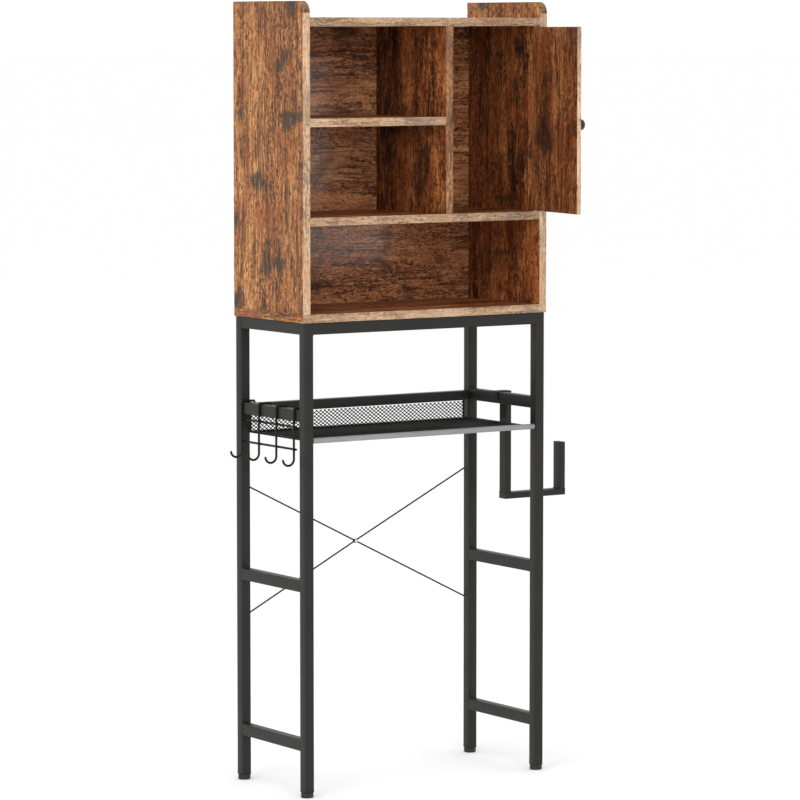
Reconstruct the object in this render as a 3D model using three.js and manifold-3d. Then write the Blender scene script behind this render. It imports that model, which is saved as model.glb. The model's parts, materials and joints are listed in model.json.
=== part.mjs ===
// Over-the-toilet storage rack: a wood-board cabinet with one inset door on a square-tube frame,
// with an expanded-metal tray, a crossed rod brace, a lift-off hook rack and a lift-off paper holder.
// Millimetres, +Z up. The rack stands on z = 0 with its open front towards -Y, and the last lines
// move it so that the origin is the bottom centre of its whole bounding box.
// Before that move, x = 0 is the cabinet's middle and y = 0 is its front plane.
import * as THREE from 'three';
import { mergeVertices } from 'three/addons/utils/BufferGeometryUtils.js';
import Module from 'manifold-3d';

const wasm = await Module();
wasm.setup();

// Driving dimensions of the cabinet.
const WIDTH = 630;
const DEPTH = 282;
const BOARD = 18;
const BACK = 3;
const BACK_INSET = 4;
const LOWER_BAY = 186.5;
const MIDDLE_BAY = 191;
const TOP_BAY = 194.5;
const SIDE_RISE = 34.5;
const SIDE_CORNER_RADIUS = 25;
const DIVIDER_X = 58.3;

// Driving dimensions of the door and its fittings.
const DOOR = 9;
const DOOR_SETBACK = 1;
const DOOR_SIDE_GAP = 2;
const DOOR_END_GAP = 1.5;
const DOOR_OPEN_DEG = 80;
const PIVOT_FROM_SIDE = 9;
const PIN_RADIUS = 2;
const PIN_BITE = 11;
const KNOB_FROM_EDGE = 27;
const KNOB_BELOW_MIDDLE = 9;
const KNOB_RADIUS = 12;
const KNOB_REACH = 21;
const KNOB_BASE_RADIUS = 6.6;
const KNOB_NECK_RADIUS = 4.3;
const KNOB_RIM = 11.5;
const KNOB_SCREW_RADIUS = 2;
const KNOB_SCREW_BITE = 6.5;
const KNOB_BORE = 10;
const WASHER_RADIUS = 4;
const STOP_SIZE = [8, 10, 30];

// Driving dimensions of the frame.
const TUBE = 22;
const TUBE_WALL = 1.2;
const TUBE_CORNER = 1.4;
const RAIL_HEIGHT = 25;
const SIDE_INSET = 4;
const FRONT_INSET = 1.5;
const FRAME_TOP = 1017.5;
const TRAY_RAIL_TOP = 831;
const REAR_TRAY_RAIL_TOP = 826.5;
const REAR_TRAY_RAIL_HEIGHT = 20;
const MIDDLE_RAIL_TOP = 467;
const LOWER_RAIL_TOP = 124.5;
const FOOT_RADIUS = 13.5;
const FOOT_HEIGHT = 11;
const FOOT_EDGE = 1.5;
const PLUG_FLANGE = 2;
const PLUG_LIP = 0.7;
const PLUG_CORNER_RADIUS = 2.5;
const PLUG_STEM_TOP = 37;
const STUD_RADIUS = 3;
const STUD_TOP = 34;
const BRACE_TOP = 653;
const BRACE_BOTTOM = 353;
const BRACE_RADIUS = 1.75;
const EYE_RADIUS = 6;
const EYE_THICK = 2;
const MIDDLE_EYE_RADIUS = 4.5;
const RIVET_RADIUS = 2;
const RIVET_HEAD_RADIUS = 4;
const RIVET_HEAD = 2.2;
const RIVET_TAIL_RADIUS = 3.5;
const RIVET_TAIL = 1.5;
const BOLT_FROM_FRONT = [70, 210];
const BOLT_RADIUS = 3;
const BOLT_LENGTH = 13;
const BOLT_BORE = 14;
const BOLT_HEAD_RADIUS = 5.5;
const BOLT_HEAD = 4;
const BOLT_ACCESS_RADIUS = 7;

// Driving dimensions of the tray.
const TRAY_BAR_RADIUS = 6;
const TRAY_BAR_Y = 9;
const TRAY_BAR_Z = 766;
const TRAY_SHEET = 3;
const TRAY_FLOOR_TOP = 766.5;
const TRAY_BACK_Y = 271;
const TRAY_WIRE_RADIUS = 2.5;

// Driving dimensions of the hook rack and of the paper holder.
const HOOKS = 4;
const HOOK_PITCH = 71;
const HOOK_FIRST_Y = 41;
const HOOK_WIRE_RADIUS = 2.5;
const HOOK_BEND = 13.75;
const HOOK_CURL_Z = 726;
const HOOK_TOP_BEND = 4;
const HOOK_TOP_SPAN = 33;
const HOOK_INNER_DROP = 18;
const HOOK_CROSS_Z = [794, 746];
const HOLDER_THICK = 14;
const HOLDER_WIDE = 27;
const HOLDER_Y = 159.5;
const HOLDER_ARM_Z = 590;
const HOLDER_REACH = 163;
const HOLDER_POST = 105;
const HOLDER_PLATE = 2;
const HOLDER_LIP = 17;

// Gaps: GAP lies between faces that meet, and CLEAR around a shank in its hole.
const GAP = 0.3;
const CLEAR = 0.3;

// Heights and planes that follow from the driving dimensions.
const sideX = WIDTH / 2;
const insideX = sideX - BOARD;
const bottomBoardTop = FRAME_TOP + BOARD;
const lowerShelfTop = bottomBoardTop + LOWER_BAY + BOARD;
const middleShelfTop = lowerShelfTop + MIDDLE_BAY + BOARD;
const topBoardBottom = middleShelfTop + TOP_BAY;
const topBoardTop = topBoardBottom + BOARD;
const height = topBoardTop + SIDE_RISE;
const backFront = DEPTH - BACK_INSET - BACK;
const shelfDepth = backFront - GAP;
const legOut = sideX - SIDE_INSET;
const legIn = legOut - TUBE;
const legX = legOut - TUBE / 2;
const frontLegBack = FRONT_INSET + TUBE;
const rearLegFront = DEPTH - TUBE;

const board = new THREE.MeshStandardMaterial({ color: '#8a5734', roughness: 0.5, metalness: 0 });
const backing = new THREE.MeshStandardMaterial({ color: '#6f4a35', roughness: 0.5, metalness: 0 });
const powderBlack = new THREE.MeshStandardMaterial({ color: '#2b2b29', roughness: 0.55, metalness: 0.3 });
const plasticBlack = new THREE.MeshStandardMaterial({ color: '#191919', roughness: 0.5, metalness: 0 });
const barGrey = new THREE.MeshStandardMaterial({ color: '#9a9a9a', roughness: 0.4, metalness: 0.6 });
const zincSteel = new THREE.MeshStandardMaterial({ color: '#c2c3c5', roughness: 0.35, metalness: 0.9 });

const rack = new THREE.Group();

function place(name, geometry, material, parent = rack) {
  const mesh = new THREE.Mesh(geometry, material);
  mesh.name = name;
  parent.add(mesh);
  return mesh;
}

// A box between two corners.
function block(low, high) {
  const size = high.map((value, axis) => value - low[axis]);
  const middle = high.map((value, axis) => (value + low[axis]) / 2);
  return new THREE.BoxGeometry(...size).translate(...middle);
}

// A round bar between two points.
function rod(from, to, radius, sides = 16) {
  const start = new THREE.Vector3(...from);
  const end = new THREE.Vector3(...to);
  const along = end.clone().sub(start);
  const upright = new THREE.Vector3(0, 1, 0);
  const turn = new THREE.Quaternion().setFromUnitVectors(upright, along.clone().normalize());
  const middle = start.add(end).multiplyScalar(0.5);
  return new THREE.CylinderGeometry(radius, radius, along.length(), sides)
    .applyQuaternion(turn)
    .translate(middle.x, middle.y, middle.z);
}

// A turned solid about the Z axis from [radius, z] points, which start and end on the axis.
function turned(profile, sides = 24) {
  const points = profile.map(([radius, z]) => new THREE.Vector2(radius, z));
  return new THREE.LatheGeometry(points, sides).rotateX(Math.PI / 2);
}

// A rectangle with round corners, centred on the origin.
function roundedRectangle(width, depth, radius, outline = new THREE.Shape()) {
  const x = width / 2;
  const y = depth / 2;
  outline.moveTo(-x + radius, -y);
  outline.lineTo(x - radius, -y);
  outline.absarc(x - radius, -y + radius, radius, -Math.PI / 2, 0, false);
  outline.lineTo(x, y - radius);
  outline.absarc(x - radius, y - radius, radius, 0, Math.PI / 2, false);
  outline.lineTo(-x + radius, y);
  outline.absarc(-x + radius, y - radius, radius, Math.PI / 2, Math.PI, false);
  outline.lineTo(-x, -y + radius);
  outline.absarc(-x + radius, -y + radius, radius, Math.PI, 1.5 * Math.PI, false);
  return outline;
}

// A hollow tube of width by depth, open at both ends, standing on z = 0.
function hollowTube(width, depth, length) {
  const outline = roundedRectangle(width, depth, TUBE_CORNER);
  const x = width / 2 - TUBE_WALL;
  const y = depth / 2 - TUBE_WALL;
  const hole = new THREE.Path([[-x, -y], [-x, y], [x, y], [x, -y]].map(([a, b]) => new THREE.Vector2(a, b)));
  outline.holes.push(hole);
  return new THREE.ExtrudeGeometry(outline, { depth: length, bevelEnabled: false, curveSegments: 3 });
}

// Tubes along X, Y and Z, given the lowest corner of the space they fill.
function tubeAlongZ(x, y, z, width, depth, length) {
  return hollowTube(width, depth, length).translate(x + width / 2, y + depth / 2, z);
}

function tubeAlongY(x, y, z, width, tall, length) {
  return hollowTube(width, tall, length)
    .rotateX(-Math.PI / 2)
    .translate(x + width / 2, y, z + tall / 2);
}

function tubeAlongX(x, y, z, deep, tall, length) {
  return hollowTube(tall, deep, length)
    .rotateY(Math.PI / 2)
    .translate(x, y + deep / 2, z + tall / 2);
}

// Booleans on closed meshes.
function toSolid(geometry) {
  const bare = geometry.clone();
  bare.deleteAttribute('normal');
  bare.deleteAttribute('uv');
  const welded = mergeVertices(bare, 1e-4);
  const vertProperties = new Float32Array(welded.attributes.position.array);
  const triVerts = new Uint32Array(welded.index.array);
  return new wasm.Manifold(new wasm.Mesh({ numProp: 3, vertProperties, triVerts }));
}

function toGeometry(solid) {
  const { vertProperties, triVerts } = solid.getMesh();
  const geometry = new THREE.BufferGeometry();
  geometry.setAttribute('position', new THREE.BufferAttribute(new Float32Array(vertProperties), 3));
  geometry.setIndex(new THREE.BufferAttribute(new Uint32Array(triVerts), 1));
  return geometry;
}

function cut(geometry, ...tools) {
  return toGeometry(tools.reduce((solid, tool) => solid.subtract(toSolid(tool)), toSolid(geometry)));
}

function join(geometry, ...others) {
  return toGeometry(others.reduce((solid, other) => solid.add(toSolid(other)), toSolid(geometry)));
}

// ---------------------------------------------------------------- cabinet boards

const pivotX = insideX - PIVOT_FROM_SIDE;
const pivotY = DOOR_SETBACK + DOOR / 2;
const doorBottom = lowerShelfTop + DOOR_END_GAP;
const doorTop = topBoardBottom - DOOR_END_GAP;

function pinHole(z) {
  return rod([pivotX, pivotY, z - PIN_BITE], [pivotX, pivotY, z + PIN_BITE], PIN_RADIUS + CLEAR);
}

function boltHole(x, y) {
  return rod([x, y, FRAME_TOP - RAIL_HEIGHT / 2], [x, y, FRAME_TOP + BOLT_BORE], BOLT_RADIUS + CLEAR, 12);
}

// The hole in a top side rail's lower wall, through which the bolt's head goes in.
function accessHole(x, y) {
  const middle = FRAME_TOP - RAIL_HEIGHT / 2;
  return rod([x, y, middle - RAIL_HEIGHT], [x, y, middle], BOLT_ACCESS_RADIUS, 20);
}

function sidePanel(x) {
  const outline = new THREE.Shape();
  const bottom = bottomBoardTop + GAP;
  outline.moveTo(0, bottom);
  outline.lineTo(DEPTH, bottom);
  outline.lineTo(DEPTH, height);
  outline.lineTo(SIDE_CORNER_RADIUS, height);
  const cornerZ = height - SIDE_CORNER_RADIUS;
  outline.absarc(SIDE_CORNER_RADIUS, cornerZ, SIDE_CORNER_RADIUS, Math.PI / 2, Math.PI, false);
  const slab = new THREE.ExtrudeGeometry(outline, { depth: BOARD, bevelEnabled: false, curveSegments: 12 });
  return slab.rotateX(Math.PI / 2).rotateZ(Math.PI / 2).translate(x, 0, 0);
}

place('left_side_panel', sidePanel(-sideX), board);
place('right_side_panel', sidePanel(insideX), board);

const boltPlaces = [-legX, legX].flatMap((x) => BOLT_FROM_FRONT.map((y) => [x, y]));
const bottomSlab = block([-sideX, 0, FRAME_TOP], [sideX, DEPTH, bottomBoardTop]);
place('bottom_board', cut(bottomSlab, ...boltPlaces.map(([x, y]) => boltHole(x, y))), board);

const topSlab = block([-insideX + GAP, 0, topBoardBottom], [insideX - GAP, DEPTH, topBoardTop]);
place('top_board', cut(topSlab, pinHole(topBoardBottom)), board);

const lowerLow = [-insideX + GAP, 0, lowerShelfTop - BOARD];
const lowerSlab = block(lowerLow, [insideX - GAP, shelfDepth, lowerShelfTop]);
place('lower_shelf', cut(lowerSlab, pinHole(lowerShelfTop)), board);

const dividerLeft = DIVIDER_X - BOARD / 2;
const dividerRight = DIVIDER_X + BOARD / 2;
const dividerLow = [dividerLeft, 0, lowerShelfTop + GAP];
place('divider_panel', block(dividerLow, [dividerRight, shelfDepth, topBoardBottom - GAP]), board);

const middleLow = [-insideX + GAP, 0, middleShelfTop - BOARD];
place('middle_shelf', block(middleLow, [dividerLeft - GAP, shelfDepth, middleShelfTop]), board);

const backLow = [-insideX + GAP, backFront, bottomBoardTop + GAP];
place('back_panel', block(backLow, [insideX - GAP, backFront + BACK, topBoardBottom - GAP]), backing);

// ---------------------------------------------------------------- door, on two pivot pins

const doorBody = new THREE.Group();
doorBody.position.set(pivotX, pivotY, 0);
doorBody.rotation.z = THREE.MathUtils.degToRad(DOOR_OPEN_DEG);
rack.add(doorBody);

// The door in its own frame: the pivot is at x = 0, the free edge lies towards -X.
const doorFree = dividerRight + DOOR_SIDE_GAP - pivotX;
const doorHinged = PIVOT_FROM_SIDE - DOOR_SIDE_GAP;
const knobX = doorFree + KNOB_FROM_EDGE;
const knobZ = (doorBottom + doorTop) / 2 - KNOB_BELOW_MIDDLE;
const knobScrewTip = -DOOR / 2 + KNOB_SCREW_BITE;
const knobHoleEnd = [knobX, knobScrewTip + CLEAR, knobZ];
const knobScrewHole = rod([knobX, -DOOR, knobZ], knobHoleEnd, KNOB_SCREW_RADIUS + CLEAR, 12);
const doorPinHoles = [doorBottom, doorTop].map((z) => pinHole(z).translate(-pivotX, -pivotY, 0));
const doorSlab = block([doorFree, -DOOR / 2, doorBottom], [doorHinged, DOOR / 2, doorTop]);
place('door_panel', cut(doorSlab, knobScrewHole, ...doorPinHoles), board, doorBody);

function knob() {
  const base = [[0, 0], [KNOB_BASE_RADIUS, 0], [KNOB_BASE_RADIUS, 1.5], [KNOB_NECK_RADIUS, 4]];
  const profile = [...base, [KNOB_NECK_RADIUS, KNOB_RIM - 3.5], [KNOB_RADIUS - 1.8, KNOB_RIM - 1.5]];
  const steps = 7;
  for (let step = 0; step <= steps; step += 1) {
    const angle = (step / steps) * (Math.PI / 2);
    profile.push([KNOB_RADIUS * Math.cos(angle), KNOB_RIM + (KNOB_REACH - KNOB_RIM) * Math.sin(angle)]);
  }
  profile[profile.length - 1][0] = 0;
  const blind = rod([0, 0, -1], [0, 0, KNOB_BORE], KNOB_SCREW_RADIUS + CLEAR, 12);
  return cut(turned(profile), blind);
}

const knobGeometry = knob().rotateX(Math.PI / 2).translate(knobX, -DOOR / 2 - GAP, knobZ);
place('door_knob', knobGeometry, plasticBlack, doorBody);

// A headless screw stands in the knob and bites into the door's outer face only.
const knobScrewEnd = -DOOR / 2 - KNOB_BORE + CLEAR;
const knobScrew = rod([knobX, knobScrewEnd, knobZ], [knobX, knobScrewTip, knobZ], KNOB_SCREW_RADIUS);
place('knob_screw', knobScrew, zincSteel, doorBody);

function pivotPin(z) {
  const reach = PIN_BITE - CLEAR;
  return rod([pivotX, pivotY, z - reach], [pivotX, pivotY, z + reach], PIN_RADIUS);
}

place('upper_pivot_pin', pivotPin(topBoardBottom), zincSteel);
place('lower_pivot_pin', pivotPin(lowerShelfTop), zincSteel);

const washerLow = lowerShelfTop + 0.25;
const washerHigh = doorBottom - 0.25;
const washerDisc = rod([pivotX, pivotY, washerLow], [pivotX, pivotY, washerHigh], WASHER_RADIUS, 20);
place('lower_pivot_washer', cut(washerDisc, pinHole(lowerShelfTop)), zincSteel);

// The closed door's free edge comes to rest against this small block on the divider.
const stopLow = [dividerRight + GAP, DOOR_SETBACK + DOOR + GAP, topBoardBottom - GAP - STOP_SIZE[2]];
place('door_stop', block(stopLow, stopLow.map((value, axis) => value + STOP_SIZE[axis])), plasticBlack);

// ---------------------------------------------------------------- frame

const corners = [
  ['front_left', -1, FRONT_INSET],
  ['front_right', 1, FRONT_INSET],
  ['rear_left', -1, rearLegFront],
  ['rear_right', 1, rearLegFront],
];
const flangeBottom = FOOT_HEIGHT + GAP;
const flangeTop = flangeBottom + PLUG_FLANGE;
const legBottom = flangeTop + GAP;

function plug() {
  const half = TUBE / 2 + PLUG_LIP;
  const outline = roundedRectangle(2 * half, 2 * half, PLUG_CORNER_RADIUS);
  const upwards = { depth: PLUG_FLANGE, bevelEnabled: false, curveSegments: 3 };
  const flange = new THREE.ExtrudeGeometry(outline, upwards);
  const core = TUBE / 2 - TUBE_WALL - CLEAR;
  const stem = block([-core, -core, flangeBottom + PLUG_FLANGE / 2], [core, core, PLUG_STEM_TOP]);
  const thread = rod([0, 0, 0], [0, 0, PLUG_STEM_TOP + 5], STUD_RADIUS + CLEAR, 12);
  return cut(join(flange.translate(0, 0, flangeBottom), stem), thread);
}

function foot() {
  return turned([
    [0, 0],
    [FOOT_RADIUS - FOOT_EDGE, 0],
    [FOOT_RADIUS, FOOT_EDGE],
    [FOOT_RADIUS, FOOT_HEIGHT - FOOT_EDGE],
    [FOOT_RADIUS - FOOT_EDGE, FOOT_HEIGHT],
    [STUD_RADIUS, FOOT_HEIGHT],
    [STUD_RADIUS, STUD_TOP],
    [0, STUD_TOP],
  ]);
}

for (const [corner, side, y] of corners) {
  const x = side * legX;
  const middleY = y + TUBE / 2;
  const length = FRAME_TOP - GAP - legBottom;
  place(`${corner}_leg`, tubeAlongZ(x - TUBE / 2, y, legBottom, TUBE, TUBE, length), powderBlack);
  place(`${corner}_leg_plug`, plug().translate(x, middleY, 0), plasticBlack);
  place(`${corner}_foot`, foot().translate(x, middleY, 0), plasticBlack);
}

const sideRailLength = rearLegFront - frontLegBack - 2 * GAP;
const sideRails = [
  ['lower_rail', LOWER_RAIL_TOP],
  ['middle_rail', MIDDLE_RAIL_TOP],
  ['tray_rail', TRAY_RAIL_TOP],
  ['top_rail', FRAME_TOP - GAP],
];

for (const [side, sign] of [['left', -1], ['right', 1]]) {
  const holes = BOLT_FROM_FRONT.flatMap((y) => [boltHole(sign * legX, y), accessHole(sign * legX, y)]);
  for (const [name, top] of sideRails) {
    const x = sign * legX - TUBE / 2;
    const rail = tubeAlongY(x, frontLegBack + GAP, top - RAIL_HEIGHT, TUBE, RAIL_HEIGHT, sideRailLength);
    place(`${side}_${name}`, name === 'top_rail' ? cut(rail, ...holes) : rail, powderBlack);
  }
}

const crossRailLength = 2 * (legIn - GAP);
const crossRails = [
  ['front_top_rail', FRONT_INSET, FRAME_TOP - GAP, RAIL_HEIGHT],
  ['rear_top_rail', rearLegFront, FRAME_TOP - GAP, RAIL_HEIGHT],
  ['rear_tray_rail', rearLegFront, REAR_TRAY_RAIL_TOP, REAR_TRAY_RAIL_HEIGHT],
];

for (const [name, y, top, tall] of crossRails) {
  place(name, tubeAlongX(-legIn + GAP, y, top - tall, TUBE, tall, crossRailLength), powderBlack);
}

// Bolts rise from inside the top side rails into the bottom board.
const boltHeadTop = FRAME_TOP - GAP - TUBE_WALL - GAP;
const boltProfile = [
  [0, -BOLT_HEAD],
  [BOLT_HEAD_RADIUS - 2, -BOLT_HEAD],
  [BOLT_HEAD_RADIUS, 1.5 - BOLT_HEAD],
  [BOLT_HEAD_RADIUS, 0],
  [BOLT_RADIUS, 0],
  [BOLT_RADIUS, BOLT_LENGTH],
  [0, BOLT_LENGTH],
];
boltPlaces.forEach(([x, y], index) => {
  place(`cabinet_bolt_${index + 1}`, turned(boltProfile, 16).translate(x, y, boltHeadTop), zincSteel);
});

// ---------------------------------------------------------------- crossed rod brace behind the rear legs

const braceY = DEPTH + GAP + BRACE_RADIUS;

// A round eye at (x, z) whose front face is at y.
function eye(x, y, z, radius, thick) {
  return rod([x, y, z], [x, y + thick, z], radius, 20);
}

function eyeHole(x, z) {
  return rod([x, DEPTH, z], [x, DEPTH + TUBE, z], RIVET_RADIUS + CLEAR, 12);
}

// The rod runs from the left leg to the right leg; bow is how far its middle stands off backwards.
function braceRod(leftZ, rightZ, bow) {
  const middleZ = (leftZ + rightZ) / 2;
  const left = [-legX, braceY, leftZ];
  const centre = [0, braceY + bow, middleZ];
  const right = [legX, braceY, rightZ];
  const halves = [rod(left, centre, BRACE_RADIUS, 10), rod(right, centre, BRACE_RADIUS, 10)];
  const eyes = [
    eye(-legX, DEPTH + GAP, leftZ, EYE_RADIUS, EYE_THICK),
    eye(legX, DEPTH + GAP, rightZ, EYE_RADIUS, EYE_THICK),
    eye(0, braceY + bow - BRACE_RADIUS, middleZ, MIDDLE_EYE_RADIUS, 2 * BRACE_RADIUS),
  ];
  const joined = join(...halves, ...eyes);
  return cut(joined, eyeHole(-legX, leftZ), eyeHole(legX, rightZ), eyeHole(0, middleZ));
}

const braceBow = 2 * BRACE_RADIUS + GAP;
place('falling_brace_rod', braceRod(BRACE_TOP, BRACE_BOTTOM, 0), powderBlack);
place('rising_brace_rod', braceRod(BRACE_BOTTOM, BRACE_TOP, braceBow), powderBlack);

// One rivet holds the two middle eyes together.
const rivetFront = braceY - BRACE_RADIUS - GAP;
const rivetRear = braceY + braceBow + BRACE_RADIUS + GAP;
const rivetGrip = rivetRear - rivetFront;
const rivetTail = rivetGrip + RIVET_TAIL;
const rivetProfile = [
  [0, -RIVET_HEAD],
  [RIVET_RADIUS, -RIVET_HEAD],
  [RIVET_HEAD_RADIUS, -0.4 * RIVET_HEAD],
  [RIVET_HEAD_RADIUS, 0],
  [RIVET_RADIUS, 0],
  [RIVET_RADIUS, rivetGrip],
  [RIVET_TAIL_RADIUS, rivetGrip],
  [RIVET_TAIL_RADIUS - 0.5, rivetTail],
  [0, rivetTail],
];
const crossingZ = (BRACE_TOP + BRACE_BOTTOM) / 2;
const rivet = turned(rivetProfile, 16).rotateX(-Math.PI / 2).translate(0, rivetFront, crossingZ);
place('brace_rivet', rivet, zincSteel);

// ---------------------------------------------------------------- tray

const barEnd = legIn - GAP;
const barEnds = [-barEnd, barEnd].map((x) => [x, TRAY_BAR_Y, TRAY_BAR_Z]);
place('tray_front_bar', rod(...barEnds, TRAY_BAR_RADIUS, 20), barGrey);

const trayFront = TRAY_BAR_Y + TRAY_BAR_RADIUS + GAP;
const trayRear = TRAY_BACK_Y + TRAY_SHEET / 2;
const wireX = legIn - GAP - TRAY_WIRE_RADIUS;
const wireZ = TRAY_FLOOR_TOP - TRAY_SHEET / 2;
const floorX = wireX - TRAY_WIRE_RADIUS - GAP;
const trayFloorLow = [-floorX, trayFront, TRAY_FLOOR_TOP - TRAY_SHEET];
place('tray_floor_mesh', block(trayFloorLow, [floorX, trayRear, TRAY_FLOOR_TOP]), powderBlack);

const trayBackTop = REAR_TRAY_RAIL_TOP - REAR_TRAY_RAIL_HEIGHT - GAP;
const trayBackLow = [-floorX, TRAY_BACK_Y - TRAY_SHEET / 2, TRAY_FLOOR_TOP + GAP];
place('tray_back_mesh', block(trayBackLow, [floorX, trayRear, trayBackTop]), powderBlack);

for (const [side, sign] of [['left', -1], ['right', 1]]) {
  const wire = rod([sign * wireX, trayFront, wireZ], [sign * wireX, trayRear, wireZ], TRAY_WIRE_RADIUS, 12);
  place(`tray_${side}_wire`, wire, powderBlack);
}

// ---------------------------------------------------------------- hook rack on the left tray rail

const hookX = -legOut - GAP - HOOK_WIRE_RADIUS;
const hookTopZ = TRAY_RAIL_TOP + GAP + HOOK_WIRE_RADIUS;
const hookInnerX = hookX + HOOK_TOP_SPAN;

// The wire's centre line as [x, z] points: inner drop, over the rail, down outside, and a half-round curl.
function hookPoints() {
  const points = [[hookInnerX, hookTopZ - HOOK_INNER_DROP]];
  const arcs = [
    [hookInnerX - HOOK_TOP_BEND, hookTopZ - HOOK_TOP_BEND, HOOK_TOP_BEND, 0, Math.PI / 2, 4],
    [hookX + HOOK_TOP_BEND, hookTopZ - HOOK_TOP_BEND, HOOK_TOP_BEND, Math.PI / 2, Math.PI, 4],
    [hookX - HOOK_BEND, HOOK_CURL_Z, HOOK_BEND, 0, -Math.PI, 12],
  ];
  for (const [x, z, radius, from, to, steps] of arcs) {
    for (let step = 0; step <= steps; step += 1) {
      const angle = from + ((to - from) * step) / steps;
      points.push([x + radius * Math.cos(angle), z + radius * Math.sin(angle)]);
    }
  }
  return points;
}

// A line that turns only at its own points, so that a swept wire has one ring at each of them.
class BentLine extends THREE.Curve {
  constructor(points) {
    super();
    this.points = points;
  }

  getPoint(t) {
    const place = t * (this.points.length - 1);
    const index = Math.min(Math.floor(place), this.points.length - 2);
    return this.points[index].clone().lerp(this.points[index + 1], place - index);
  }

  getPointAt(u) {
    return this.getPoint(u);
  }

  getTangentAt(u) {
    return this.getTangent(u);
  }
}

function bentWire(points, y, radius, sides = 10) {
  const corners = Array.from({ length: sides }, (_, corner) => {
    const angle = (2 * Math.PI * corner) / sides;
    return new THREE.Vector2(radius * Math.cos(angle), radius * Math.sin(angle));
  });
  const extrudePath = new BentLine(points.map(([x, z]) => new THREE.Vector3(x, y, z)));
  return new THREE.ExtrudeGeometry(new THREE.Shape(corners), { steps: points.length - 1, extrudePath });
}

for (let hook = 0; hook < HOOKS; hook += 1) {
  const y = HOOK_FIRST_Y + hook * HOOK_PITCH;
  place(`hook_wire_${hook + 1}`, bentWire(hookPoints(), y, HOOK_WIRE_RADIUS), powderBlack);
}

const crossX = hookX + 2 * HOOK_WIRE_RADIUS + GAP;
const crossFront = HOOK_FIRST_Y - 3;
const crossRear = HOOK_FIRST_Y + (HOOKS - 1) * HOOK_PITCH + 3;
HOOK_CROSS_Z.forEach((z, index) => {
  const wire = rod([crossX, crossFront, z], [crossX, crossRear, z], HOOK_WIRE_RADIUS, 12);
  place(`hook_cross_wire_${index + 1}`, wire, powderBlack);
});

// ---------------------------------------------------------------- paper holder on the right tray rail

const dropInner = legOut + GAP;
const dropOuter = dropInner + HOLDER_THICK;
const armEnd = legOut + HOLDER_REACH;
const holderFront = HOLDER_Y - HOLDER_WIDE / 2;
const holderRear = HOLDER_Y + HOLDER_WIDE / 2;
const armTop = HOLDER_ARM_Z + HOLDER_THICK;
const dropLength = TRAY_RAIL_TOP - armTop - GAP;
const postX = armEnd - HOLDER_THICK;

const drop = tubeAlongZ(dropInner, holderFront, armTop + GAP, HOLDER_THICK, HOLDER_WIDE, dropLength);
place('holder_drop', drop, powderBlack);
const arm = tubeAlongX(dropInner, holderFront, HOLDER_ARM_Z, HOLDER_WIDE, HOLDER_THICK, armEnd - dropInner);
place('holder_arm', arm, powderBlack);
const post = tubeAlongZ(postX, holderFront, armTop + GAP, HOLDER_THICK, HOLDER_WIDE, HOLDER_POST);
place('holder_post', post, powderBlack);

// A flat steel hook: it covers the drop's top and the rail, and its lip hangs inside the rail.
const plateBottom = TRAY_RAIL_TOP + GAP;
const plateTop = plateBottom + HOLDER_PLATE;
const lipOuter = legIn - GAP;
const lipInner = lipOuter - HOLDER_PLATE;
const plateTopBar = block([lipInner, holderFront, plateBottom], [dropOuter, holderRear, plateTop]);
const plateLip = block([lipInner, holderFront, TRAY_RAIL_TOP - HOLDER_LIP], [lipOuter, holderRear, plateTop]);
place('holder_hook_plate', join(plateTopBar, plateLip), powderBlack);

// ---------------------------------------------------------------- origin: bottom centre of everything

const bounds = new THREE.Box3().setFromObject(rack);
const middle = bounds.getCenter(new THREE.Vector3());
rack.position.set(-middle.x, -middle.y, -bounds.min.z);
rack.updateMatrixWorld(true);

export default rack;
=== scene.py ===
"""Over-the-toilet storage rack: the looks of its boards, coated tubes, mesh tray, hooks and paper holder.

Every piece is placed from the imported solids' boxes and rides on their bodies.
Positions are in metres, and MM turns a maker's millimetres into metres.
"""
import json
import math

import bmesh
import bpy
from mathutils import Matrix, Vector


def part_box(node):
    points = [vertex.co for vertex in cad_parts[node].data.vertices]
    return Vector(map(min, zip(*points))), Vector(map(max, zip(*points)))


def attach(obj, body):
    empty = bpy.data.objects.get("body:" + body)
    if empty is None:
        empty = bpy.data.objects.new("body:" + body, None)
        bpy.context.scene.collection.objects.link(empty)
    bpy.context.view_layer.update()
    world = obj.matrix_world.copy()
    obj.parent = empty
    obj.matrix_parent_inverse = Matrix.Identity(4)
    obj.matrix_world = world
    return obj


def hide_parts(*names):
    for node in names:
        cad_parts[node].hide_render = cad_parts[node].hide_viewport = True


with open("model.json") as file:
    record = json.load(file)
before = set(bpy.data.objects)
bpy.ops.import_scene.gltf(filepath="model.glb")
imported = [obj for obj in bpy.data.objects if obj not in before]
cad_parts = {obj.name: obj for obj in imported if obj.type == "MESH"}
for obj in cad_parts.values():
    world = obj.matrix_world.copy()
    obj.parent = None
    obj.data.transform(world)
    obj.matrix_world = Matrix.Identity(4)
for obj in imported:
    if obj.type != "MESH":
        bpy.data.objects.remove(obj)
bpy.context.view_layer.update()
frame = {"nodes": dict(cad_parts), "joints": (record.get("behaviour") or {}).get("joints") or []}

MM = 0.001
X, Y, Z = 0, 1, 2

# Boards: laminated particle board with edge tape.
TAPE = 0.9 * MM
TAPE_ROUND = 0.35 * MM
SIDE_CORNER = 25 * MM
DOOR = 9 * MM
DOOR_OPEN = math.radians(80)
DOOR_FREE_EDGE = 218.7 * MM
DOOR_HINGED_EDGE = 7 * MM
KNOB_FROM_EDGE = 27 * MM
KNOB_RADIUS = 12 * MM
KNOB_REACH = 21 * MM
KNOB_RIM = 11.5 * MM
NAIL_SPACING = 95 * MM

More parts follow.
